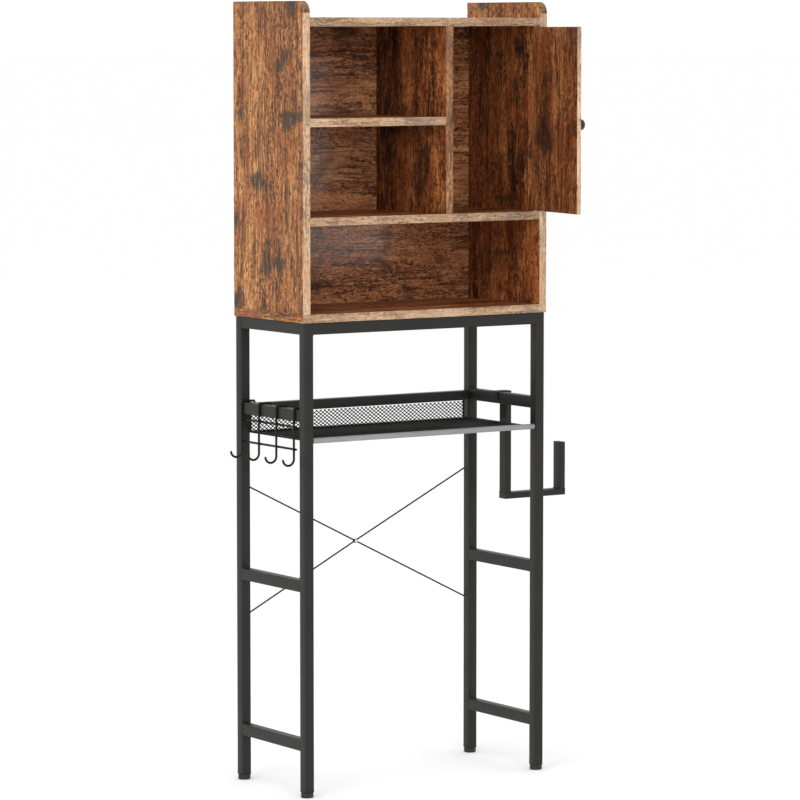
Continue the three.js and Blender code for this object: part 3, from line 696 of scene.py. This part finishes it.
def back_nails():
    """Small flat-headed nails hold the back to the shelves and the divider."""
    low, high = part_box("back_panel")
    places = []
    for shelf in ("lower_shelf", "middle_shelf"):
        shelf_low, shelf_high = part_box(shelf)
        count = round((shelf_high.x - shelf_low.x) / NAIL_SPACING)
        for step in range(count):
            x = shelf_low.x + (step + 0.5) * (shelf_high.x - shelf_low.x) / count
            places.append((x, high.y, (shelf_low.z + shelf_high.z) / 2))
    wall_low, wall_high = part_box("divider_panel")
    count = round((wall_high.z - wall_low.z) / NAIL_SPACING)
    for step in range(count):
        z = wall_low.z + (step + 0.5) * (wall_high.z - wall_low.z) / count
        places.append(((wall_low.x + wall_high.x) / 2, high.y, z))
    profile = [(0, -2 * MM), (0.8 * MM, -2 * MM), (0.8 * MM, 0), (2.6 * MM, 0.1 * MM), (2.8 * MM, 0.4 * MM)]
    profile += [(2.2 * MM, 0.8 * MM), (0, 0.95 * MM)]
    facing_back = Matrix.Rotation(-math.pi / 2, 4, "X")
    fasteners("back_nails", places, profile, facing_back, "rack", zinc, "zinc_steel", sides=16)


divider_board()
back_board()
back_nails()


# ---------------------------------------------------------------- door

hinge = next(joint for joint in frame["joints"] if joint["name"] == "door_hinge")
pivot = Vector((hinge["pos_m"][X], hinge["pos_m"][Y], 0))
door_turn = Matrix.Translation(pivot) @ Matrix.Rotation(DOOR_OPEN, 4, "Z")


def door_board():
    low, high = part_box("door_panel")
    left, right, half = -DOOR_FREE_EDGE, DOOR_HINGED_EDGE, DOOR / 2
    bm = bmesh.new()
    core_low = Vector((left + TAPE, -half, low.z + TAPE))
    core_high = Vector((right - TAPE, half, high.z - TAPE))
    sides = {(X, -1): 1, (X, 1): 1, (Z, -1): 2, (Z, 1): 2}
    core(bm, core_low, core_high, {**sides, (Y, -1): 0, (Y, 1): 0})
    tape(bm, (left, -half, low.z), (left + TAPE, half, high.z), 1)
    tape(bm, (right - TAPE, -half, low.z), (right, half, high.z), 1)
    tape(bm, (left + TAPE, -half, high.z - TAPE), (right - TAPE, half, high.z), 2)
    tape(bm, (left + TAPE, -half, low.z), (right - TAPE, half, low.z + TAPE), 2)
    bm.transform(door_turn)
    piece("door_board", bm, [door_face, tape_upright, tape_deep], "door", "rustic_board", "door_panel")


def door_knob():
    """A moulded mushroom knob on a short neck, with a fine parting step under its cap."""
    low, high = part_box("door_knob")
    height = (low.z + high.z) / 2
    place = Matrix.Translation((KNOB_FROM_EDGE - DOOR_FREE_EDGE, -DOOR / 2 - 0.2 * MM, height))
    facing = door_turn @ place @ Matrix.Rotation(math.pi / 2, 4, "X")
    profile = [(0, 0), (6.3 * MM, 0), (6.6 * MM, 0.4 * MM), (6.4 * MM, 1.4 * MM), (5 * MM, 2.6 * MM)]
    profile += [(4.4 * MM, 4.5 * MM), (4.5 * MM, 7.5 * MM), (6 * MM, 9.4 * MM), (10.4 * MM, 10.2 * MM)]
    for step in range(13):
        angle = math.radians(-20 + 110 * step / 12)
        profile.append((KNOB_RADIUS * math.cos(angle), KNOB_RIM + (KNOB_REACH - KNOB_RIM) * math.sin(angle)))
    profile[-1] = (0, KNOB_REACH)
    bm = bmesh.new()
    turned(bm, profile, facing, 48)
    piece("knob_moulding", bm, [plastic], "door", "black_plastic", "door_knob")


door_board()
door_knob()


def door_buffer():
    """The stop block carries a rubber face."""
    low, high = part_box("door_stop")
    bm = bmesh.new()
    block(bm, (low.x, low.y + 2 * MM, low.z), high, 0.8 * MM, 0)
    pad_low = (low.x + 0.8 * MM, low.y, low.z + 1 * MM)
    pad_high = (high.x - 0.8 * MM, low.y + 2.6 * MM, high.z - 1 * MM)
    block(bm, pad_low, pad_high, 0.7 * MM, 1)
    piece("door_buffer", bm, [plastic, rubber], "rack", "black_plastic", "door_stop")


door_buffer()


# ---------------------------------------------------------------- frame

LEGS = ["front_left", "front_right", "rear_left", "rear_right"]
LEVELS = ["lower", "middle", "tray", "top"]
SIDE_RAILS = [f"{side}_{level}_rail" for side in ("left", "right") for level in LEVELS]
CROSS_RAILS = ["front_top_rail", "rear_top_rail", "rear_tray_rail"]
# These two have holes for the cabinet bolts and stay as the frame gives them.
BORED_RAILS = ["left_top_rail", "right_top_rail"]

for node in [f"{leg}_leg" for leg in LEGS] + SIDE_RAILS + CROSS_RAILS:
    if node not in BORED_RAILS:
        bm = bmesh.new()
        tube(bm, *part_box(node))
        piece(f"{node}_tube", bm, [powder], "rack", "black_powder_coat", node)


def frame_welds():
    """Fillets above and below each rail, and ground seams where its sides are flush with the leg."""
    fillets = []
    seams = []

    def spot(along, end, across, edge, level):
        point = Vector((0, 0, level))
        point[along] = end
        point[across] = edge
        return point

    for node in SIDE_RAILS + CROSS_RAILS:
        low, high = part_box(node)
        along, across = (Y, X) if node in SIDE_RAILS else (X, Y)
        welded = [low.z] if "top" in node else [low.z, high.z]
        for end in (low[along], high[along]):
            for level in welded:
                edges = (low[across] + 2.5 * MM, high[across] - 2.5 * MM)
                fillets.append([spot(along, end, across, edge, level) for edge in edges])
            sink = SEAM_WELD - SEAM_PROUD
            for flush in (low[across] + sink, high[across] - sink):
                levels = (low.z + 1.5 * MM, high.z - 1.5 * MM)
                seams.append([spot(along, end, across, flush, level) for level in levels])
    weld("frame_fillet_welds", fillets, "rack", FILLET_WELD, 3)
    weld("frame_seam_welds", seams, "rack", SEAM_WELD, 5)


frame_welds()


def leg_end(leg):
    """The ribbed plug pressed into a leg and the glide that screws into it."""
    low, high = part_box(f"{leg}_leg_plug")
    tube_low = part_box(f"{leg}_leg")[0]
    middle = Matrix.Translation(((low.x + high.x) / 2, (low.y + high.y) / 2, 0))
    wide = high.x - low.x
    stem = wide - 4.4 * MM
    bore = circle(STUD_RADIUS + 0.3 * MM, 20)
    levels = [(bore, low.z), (round_rectangle(wide - 1 * MM, wide - 1 * MM, 2.2 * MM), low.z)]
    levels += [(round_rectangle(wide, wide, 2.6 * MM), low.z + 0.5 * MM)]
    levels += [(round_rectangle(wide, wide, 2.6 * MM), tube_low.z - 0.7 * MM)]
    levels += [(round_rectangle(wide - 0.7 * MM, wide - 0.7 * MM, 2.3 * MM), tube_low.z - 0.3 * MM)]
    levels += [(round_rectangle(stem, stem, 1 * MM), tube_low.z - 0.3 * MM)]
    levels += [(round_rectangle(stem - 1 * MM, stem - 1 * MM, 1 * MM), high.z), (bore, high.z)]
    bm = bmesh.new()
    shell(bm, [[middle @ Vector((*point, z)) for point in outline] for outline, z in levels], loop=True)
    piece(f"{leg}_plug_moulding", bm, [plastic], "rack", "black_plastic", f"{leg}_leg_plug")

    foot = f"{leg}_foot"
    low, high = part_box(foot)
    radius = (high.x - low.x) / 2

    def ribbed(angle):
        return 1 - 0.022 * (1 + math.cos(GLIDE_RIBS * angle)) / 2

    profile = [(0, 0), (radius - 2.2 * MM, 0), (radius - 0.8 * MM, 0.5 * MM), (radius, 1.8 * MM)]
    profile += [(radius, 2.6 * MM, ribbed), (radius, 8.6 * MM, ribbed), (radius, 9.4 * MM)]
    profile += [(radius - 0.5 * MM, 10.4 * MM), (radius - 1.6 * MM, FOOT_TOP)]
    dish = FOOT_TOP - 0.5 * MM
    profile += [(STUD_RADIUS + 3 * MM, FOOT_TOP), (STUD_RADIUS + 2.4 * MM, dish), (0, dish)]
    bm = bmesh.new()
    turned(bm, profile, middle, 4 * GLIDE_RIBS)
    piece(f"{leg}_glide", bm, [plastic], foot, "black_plastic", foot)

    # The stud's thread is a true helix: its radius follows the turn and the height together.
    start = FOOT_TOP - 2 * MM
    rows = round((high.z - start) / THREAD_PITCH * 6)

    def threaded(height):
        def share(angle):
            phase = (height / THREAD_PITCH - angle / (2 * math.pi)) % 1
            return 1 - THREAD_DEPTH / STUD_RADIUS * abs(2 * phase - 1)
        return share

    heights = [start + (high.z - start) * row / rows for row in range(rows + 1)]
    turns = [(STUD_RADIUS, height, threaded(height)) for height in heights]
    profile = [(0, heights[0]), *turns, (0, heights[-1])]
    bm = bmesh.new()
    turned(bm, profile, middle, 18)
    piece(f"{leg}_glide_stud", bm, [zinc], foot, "zinc_steel")


for leg in LEGS:
    leg_end(leg)


def socket_head(radius, height, socket, shank, length):
    """A button-head screw with a hexagon socket, its head facing +Z and its shank below z = 0."""
    floor = 0.35 * height
    profile = [(0, floor), (socket, floor, hexagon), (socket, 0.98 * height, hexagon)]
    profile += [(0.62 * radius, height), (0.86 * radius, 0.72 * height), (radius, 0.3 * height)]
    return profile + [(radius, 0), (shank, 0), (shank, -length), (0, -length)]


def cabinet_bolts():
    nodes = [f"cabinet_bolt_{index}" for index in (1, 2, 3, 4)]
    boxes = [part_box(node) for node in nodes]
    places = [((low.x + high.x) / 2, (low.y + high.y) / 2, low.z + BOLT_HEAD) for low, high in boxes]
    profile = socket_head(5.5 * MM, BOLT_HEAD, 1.9 * MM, 3 * MM, boxes[0][1].z - places[0][Z])
    down = Matrix.Rotation(math.pi, 4, "X")
    fasteners("cabinet_bolts", places, profile, down, "rack", zinc, "zinc_steel", *nodes)


cabinet_bolts()


def annulus(bm, centre, radius, hole, front, rear, sides=28):
    """A flattened eye about the Y axis, with softened rims."""
    soft = 0.3 * MM
    rows = [(hole, front + soft), (hole + soft, front), (radius - soft, front), (radius, front + soft)]
    rows += [(radius, rear - soft), (radius - soft, rear), (hole + soft, rear), (hole, rear - soft)]
    rings = [[Vector((centre.x + a, y, centre.z + b)) for a, b in circle(ring, sides)] for ring, y in rows]
    shell(bm, rings, loop=True)


def brace(name, node, left_high):
    """A rod flattened into an eye at each end and in its middle."""
    low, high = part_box(node)
    rise = (1, -1)[left_high]
    middle = Vector(((low.x + high.x) / 2, 0, (low.z + high.z) / 2))
    half_wide = (high.x - low.x) / 2 - EYE_RADIUS
    half_tall = rise * ((high.z - low.z) / 2 - EYE_RADIUS)
    seat = low.y + BRACE_RADIUS
    crossing = high.y - BRACE_RADIUS
    left = Vector((middle.x - half_wide, seat, middle.z - half_tall))
    right = Vector((middle.x + half_wide, seat, middle.z + half_tall))
    centre = Vector((middle.x, crossing, middle.z))
    bm = bmesh.new()
    section = circle(BRACE_RADIUS, 14)
    for outer in (left, right):
        run = (centre - outer).normalized()
        start = outer + run * (EYE_RADIUS - 1.2 * MM)
        end = centre - run * (MIDDLE_EYE_RADIUS - 1 * MM)
        swept(bm, [start, end], section, run.cross(Vector((0, 1, 0))), round_end=BRACE_RADIUS)
        annulus(bm, outer, EYE_RADIUS, EYE_HOLE, low.y, low.y + EYE_THICK)
    annulus(bm, centre, MIDDLE_EYE_RADIUS, EYE_HOLE, crossing - BRACE_RADIUS, crossing + BRACE_RADIUS)
    piece(name, bm, [wire_coat_shaded], "rack", "black_powder_coat", node)
    return left, right


falling_ends = brace("falling_brace", "falling_brace_rod", True)
rising_ends = brace("rising_brace", "rising_brace_rod", False)


def brace_fasteners():
    """Screws through the end eyes into the rear legs, and one rivet through the middle eyes."""
    places = [(end.x, end.y - BRACE_RADIUS + EYE_THICK, end.z) for end in (*falling_ends, *rising_ends)]
    profile = socket_head(4.2 * MM, 2.3 * MM, 1.3 * MM, 1.9 * MM, 9 * MM)
    facing_back = Matrix.Rotation(-math.pi / 2, 4, "X")
    fasteners("brace_screws", places, profile, facing_back, "rack", zinc, "zinc_steel")
    low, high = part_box("brace_rivet")
    dome = [(0, high.y), (2.2 * MM, high.y - 0.2 * MM), (3.2 * MM, high.y - 0.8 * MM)]
    dome += [(3.5 * MM, high.y - 1.5 * MM)]
    dome += [(2 * MM, high.y - 1.5 * MM), (2 * MM, low.y + 2.2 * MM), (4 * MM, low.y + 2.2 * MM)]
    dome += [(3.8 * MM, low.y + 1.3 * MM), (2.8 * MM, low.y + 0.5 * MM), (1.4 * MM, low.y + 0.1 * MM)]
    dome += [(0, low.y)]
    place = Matrix.Translation(((low.x + high.x) / 2, 0, (low.z + high.z) / 2))
    bm = bmesh.new()
    turned(bm, dome, place @ Matrix.Rotation(-math.pi / 2, 4, "X"), 32)
    piece("brace_crossing_rivet", bm, [zinc], "rack", "zinc_steel", "brace_rivet")


brace_fasteners()


# ---------------------------------------------------------------- tray

def tray_bar():
    low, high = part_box("tray_front_bar")
    radius = (high.z - low.z) / 2
    centre = Vector((0, (low.y + high.y) / 2, (low.z + high.z) / 2))
    ends = [centre + Vector((x, 0, 0)) for x in (low.x, high.x)]
    bm = bmesh.new()
    swept(bm, ends, circle(radius, 40), (0, 1, 0))
    piece("tray_bar", bm, [grey_coat], "rack", "grey_bar", "tray_front_bar")
    rings = []
    for end in ends:
        ring = [end + Vector((0, a, b)) for a, b in circle(radius, 12)]
        rings += list(zip(ring, ring[1:] + ring[:1]))
    weld("tray_bar_welds", rings, "rack", 1.1 * MM, 7)


def diamond_cell():
    """One knuckle with the four half strands that leave it, open where the next cells join on."""
    slant = Vector((DIAMOND_LONG / 2 - KNUCKLE_LONG, DIAMOND_SHORT / 2)).normalized()
    lean = Vector((0, math.cos(STRAND_TILT), math.sin(STRAND_TILT)))
    facing = Vector((0, -math.sin(STRAND_TILT), math.cos(STRAND_TILT)))
    bm = bmesh.new()

    def pair(point, thick_way):
        return [bm.verts.new(point + thick_way * share * STRAND_THICK / 2) for share in (1, -1)]

    ends = {}
    for side in (-1, 1):
        x = side * KNUCKLE_LONG / 2
        ends[side] = [pair(Vector((x, 0, 0)) + lean * share * STRAND_WIDE, facing) for share in (1, 0, -1)]
    left, right = ends[-1], ends[1]
    for row in (0, 1):
        for face in (0, 1):
            bm.faces.new([left[row][face], left[row + 1][face], right[row + 1][face], right[row][face]])
    for row in (0, 2):
        bm.faces.new([left[row][0], left[row][1], right[row][1], right[row][0]])
    for side in (-1, 1):
        for rise in (-1, 1):
            reach = Vector((side * DIAMOND_LONG / 4, rise * DIAMOND_SHORT / 4, 0))
            square = Vector((-side * rise * slant.y, slant.x, 0))
            tilted = square * math.cos(STRAND_TILT) + Vector((0, 0, math.sin(STRAND_TILT)))
            out = Vector((-square.x, -square.y, 0)) * math.sin(STRAND_TILT)
            out += Vector((0, 0, math.cos(STRAND_TILT)))
            tip = [pair(reach + tilted * share * STRAND_WIDE / 2, out) for share in (1, -1)]
            rows = (0, 1) if rise > 0 else (1, 2)
            root = [ends[side][row] for row in rows]
            ring_root = [root[0][0], root[0][1], root[1][1], root[1][0]]
            ring_tip = [tip[0][0], tip[0][1], tip[1][1], tip[1][0]]
            for step in range(4):
                after = (step + 1) % 4
                bm.faces.new([ring_root[step], ring_root[after], ring_tip[after], ring_tip[step]])
    return pattern_object("diamond_pattern", bm)


def tray_sheet():
    """One sheet of expanded metal, bent up at the rear, with a folded hem all round."""
    floor_low, floor_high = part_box("tray_floor_mesh")
    wall_low, wall_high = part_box("tray_back_mesh")
    level = (floor_low.z + floor_high.z) / 2
    rear = (wall_low.y + wall_high.y) / 2
    flat = rear - TRAY_BEND - floor_low.y
    bend = TRAY_BEND * math.pi / 2
    rise = wall_high.z - level - TRAY_BEND
    wide = floor_high.x - floor_low.x
    columns = math.floor((wide - HEM_WIDE) / DIAMOND_LONG)
    rows = math.floor((flat + bend + rise - HEM_WIDE) / DIAMOND_SHORT)
    cell = diamond_cell()
    values = {"Cell": cell, "Long way": wide / (columns + 0.5), "Short way": DIAMOND_SHORT}
    values.update({"Columns": columns, "Rows": rows, "Finish": wire_coat_shaded})
    mesh = grown("tray_sheet", [], [], expanded_sheet, values)
    bpy.data.objects.remove(cell)

    middle = (floor_low.x + floor_high.x) / 2
    half = (flat + bend + rise) / 2

    def folded(place, off):
        """Where a point lies once the sheet is bent: place runs from the front edge, off stands inwards."""
        if place < flat:
            return floor_low.y + place, level + off
        if place < flat + bend:
            angle = (place - flat) / TRAY_BEND
            reach = TRAY_BEND - off
            return rear - TRAY_BEND + reach * math.sin(angle), level + TRAY_BEND - reach * math.cos(angle)
        return rear - off, level + TRAY_BEND + place - flat - bend

    sheet = bmesh.new()
    sheet.from_mesh(mesh)
    bmesh.ops.holes_fill(sheet, edges=[edge for edge in sheet.edges if edge.is_boundary], sides=4)
    for vert in sheet.verts:
        y, z = folded(vert.co.y + half, vert.co.z)
        vert.co = (vert.co.x + middle, y, z)
    nodes = ("tray_floor_mesh", "tray_back_mesh")
    piece("tray_expanded_sheet", sheet, [wire_coat_shaded], "rack", "black_powder_coat", *nodes)

    bm = bmesh.new()
    section = round_rectangle(HEM_WIDE, HEM_THICK, 0.9 * MM, 3)
    stations = [0, flat, *(flat + bend * step / 6 for step in range(1, 7)), flat + bend + rise]
    for x in (floor_low.x + HEM_WIDE / 2, floor_high.x - HEM_WIDE / 2):
        swept(bm, [(x, *folded(place, 0)) for place in stations], section, (1, 0, 0))
    narrow = round_rectangle(TOP_HEM_WIDE, HEM_THICK, 0.9 * MM, 3)
    hems = [(HEM_WIDE / 2, section, (0, 1, 0)), (flat + bend + rise - TOP_HEM_WIDE / 2, narrow, (0, 0, 1))]
    for place, outline, side in hems:
        y, z = folded(place, 0)
        swept(bm, [(floor_low.x + 1 * MM, y, z), (floor_high.x - 1 * MM, y, z)], outline, side)
    piece("tray_hem", bm, [wire_coat_shaded], "rack", "black_powder_coat")


def tray_wires():
    for side in ("left", "right"):
        low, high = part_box(f"tray_{side}_wire")
        radius = (high.z - low.z) / 2
        ends = [((low.x + high.x) / 2, y, (low.z + high.z) / 2) for y in (low.y + radius, high.y - radius)]
        bm = bmesh.new()
        swept(bm, ends, circle(radius, 20), (1, 0, 0), round_end=radius)
        piece(f"tray_{side}_edge_wire", bm, [wire_coat_shaded], "rack", "black_powder_coat", f"tray_{side}_wire")


tray_bar()
tray_sheet()
tray_wires()


# ---------------------------------------------------------------- hook rack

def hook_line(low, high):
    """The bent wire's centre line: inner drop, over the rail, down outside and round the open curl."""
    y = (low.y + high.y) / 2
    top = high.z - HOOK_WIRE
    inner = high.x - HOOK_WIRE
    outer = low.x + HOOK_WIRE + 2 * HOOK_BEND
    bend = HOOK_TOP_BEND
    points = [Vector((inner, y, top - HOOK_INNER_DROP))]
    points += arc((inner - bend, y, top - bend), bend, 0, math.pi / 2, 8)
    points += arc((outer + bend, y, top - bend), bend, math.pi / 2, math.pi, 8)
    curl = (outer - HOOK_BEND, y, low.z + HOOK_WIRE + HOOK_BEND)
    points += arc(curl, HOOK_BEND, 0, -HOOK_TIP_TURN, 28)
    return points


hooks = [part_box(f"hook_wire_{index}") for index in (1, 2, 3, 4)]
for index, (low, high) in enumerate(hooks, 1):
    bm = bmesh.new()
    swept(bm, hook_line(low, high), circle(HOOK_WIRE, 18), (0, 1, 0), round_end=HOOK_WIRE)
    piece(f"hook_{index}", bm, [wire_coat_shaded], "hook_rack", "black_powder_coat", f"hook_wire_{index}")


def hook_cross_wires():
    spots = []
    for index in (1, 2):
        node = f"hook_cross_wire_{index}"
        low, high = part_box(node)
        centre = (low + high) / 2
        ends = [(centre.x, y, centre.z) for y in (low.y + HOOK_WIRE, high.y - HOOK_WIRE)]
        bm = bmesh.new()
        swept(bm, ends, circle(HOOK_WIRE, 18), (1, 0, 0), round_end=HOOK_WIRE)
        piece(f"hook_tie_wire_{index}", bm, [wire_coat_shaded], "hook_rack", "black_powder_coat", node)
        for hook_low, hook_high in hooks:
            y = (hook_low.y + hook_high.y) / 2
            touch = centre.x - HOOK_WIRE
            for rise in (-1.5 * MM, 1.5 * MM):
                spots.append([(touch, y - 1.2 * MM, centre.z + rise), (touch, y + 1.2 * MM, centre.z + rise)])
    weld("hook_rack_welds", spots, "hook_rack", 1.2 * MM, 11)


hook_cross_wires()


# ---------------------------------------------------------------- paper holder

def cap(bm, low, high, axis, sign):
    """A pressed-in plastic end cap for a flat tube, with a softly domed face."""
    first, last = Vector(low), Vector(high)
    face = (last if sign > 0 else first)[axis]
    for other in (X, Y, Z):
        if other != axis:
            first[other] += 0.5 * MM
            last[other] -= 0.5 * MM
    first[axis], last[axis] = sorted((face - sign * 4 * MM, face + sign * 0.8 * MM))
    block(bm, first, last, 0.7 * MM)


def paper_holder():
    for node in ("holder_drop", "holder_arm", "holder_post"):
        low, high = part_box(node)
        bm = bmesh.new()
        tube(bm, low, high)
        piece(f"{node}_tube", bm, [powder], "paper_holder", "black_powder_coat", node)
    arm_low, arm_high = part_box("holder_arm")
    post_low, post_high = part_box("holder_post")
    drop_low, drop_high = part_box("holder_drop")
    bm = bmesh.new()
    cap(bm, arm_low, arm_high, X, 1)
    cap(bm, arm_low, arm_high, X, -1)
    cap(bm, post_low, post_high, Z, 1)
    piece("holder_end_caps", bm, [plastic], "paper_holder", "black_plastic")

    low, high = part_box("holder_hook_plate")
    middle = (low.y + high.y) / 2
    inner = low.x + HOLDER_PLATE / 2
    level = high.z - HOLDER_PLATE / 2
    line = [(inner, middle, low.z)]
    turn = (inner + HOLDER_BEND, middle, level - HOLDER_BEND)
    line += arc(turn, HOLDER_BEND, math.pi, math.pi / 2, 6)
    line += [(high.x, middle, level)]
    bm = bmesh.new()
    swept(bm, line, round_rectangle(high.y - low.y, HOLDER_PLATE, 0.5 * MM, 3), (0, 1, 0))
    piece("holder_hook", bm, [powder], "paper_holder", "black_powder_coat", "holder_hook_plate")

    lines = []
    for tube_low, tube_high in ((drop_low, drop_high), (post_low, post_high)):
        z = arm_high.z
        ring = [(tube_low.x, tube_low.y), (tube_high.x, tube_low.y)]
        ring += [(tube_high.x, tube_high.y), (tube_low.x, tube_high.y)]
        for (x1, y1), (x2, y2) in zip(ring, ring[1:] + ring[:1]):
            lines.append([(x1, y1, z), (x2, y2, z)])
    edge = drop_high.x - 0.4 * MM
    under = high.z - HOLDER_PLATE
    lines.append([(edge, low.y + 1 * MM, under), (edge, high.y - 1 * MM, under)])
    weld("holder_welds", lines, "paper_holder", 0.9 * MM, 13)


paper_holder()


# ---------------------------------------------------------------- small solids kept from the frame

kept = {node: zinc for node in ("upper_pivot_pin", "lower_pivot_pin", "lower_pivot_washer", "knob_screw")}
kept.update({node: powder for node in BORED_RAILS})
for node, finish in kept.items():
    frame["nodes"][node].data.materials.clear()
    frame["nodes"][node].data.materials.append(finish)


# ---------------------------------------------------------------- floor, light and camera

def floor():
    bm = bmesh.new()
    signs = [(-1, -1), (1, -1), (1, 1), (-1, 1)]
    bm.faces.new([bm.verts.new((FLOOR_REACH * a, FLOOR_REACH * b, 0)) for a, b in signs])
    mesh = bpy.data.meshes.new("pale_floor")
    bm.to_mesh(mesh)
    bm.free()
    finish, tree, shader = new_finish("pale_painted_floor", Roughness=0.9)
    shader.inputs["Base Color"].default_value = colour("#fbfbfb")
    mesh.materials.append(finish)
    placed("pale_floor", mesh)


def softbox(name, place, aim, size, watts):
    """A square studio lamp at place, turned to aim."""
    data = bpy.data.lights.new(name, "AREA")
    data.shape = "SQUARE"
    data.size = size
    data.energy = watts
    lamp = placed(name, data)
    lamp.location = place
    lamp.rotation_euler = (Vector(aim) - Vector(place)).to_track_quat("-Z", "Y").to_euler()


def studio():
    floor()
    room = bpy.data.worlds.new("white_studio")
    room.use_nodes = True
    shade = room.node_tree.nodes["Background"]
    shade.inputs["Color"].default_value = (1, 1, 1, 1)
    shade.inputs["Strength"].default_value = ROOM_LIGHT
    bpy.context.scene.world = room
    softbox("front_softbox", (-1.2, -4.5, 3.2), (0, 0, 1.0), 2.5, 55)
    softbox("left_softbox", (-3.6, -1.6, 2.4), (0, 0, 1.1), 1.8, 40)
    bpy.context.scene.view_settings.view_transform = "Standard"


def camera():
    data = bpy.data.cameras.new("camera")
    data.sensor_width = CAMERA_SENSOR
    data.lens = CAMERA_FOCAL
    made = placed("camera", data)
    made.location = CAMERA_PLACE
    made.rotation_euler = (math.pi / 2 - CAMERA_PITCH, 0, -CAMERA_YAW)
    bpy.context.scene.camera = made


studio()
camera()
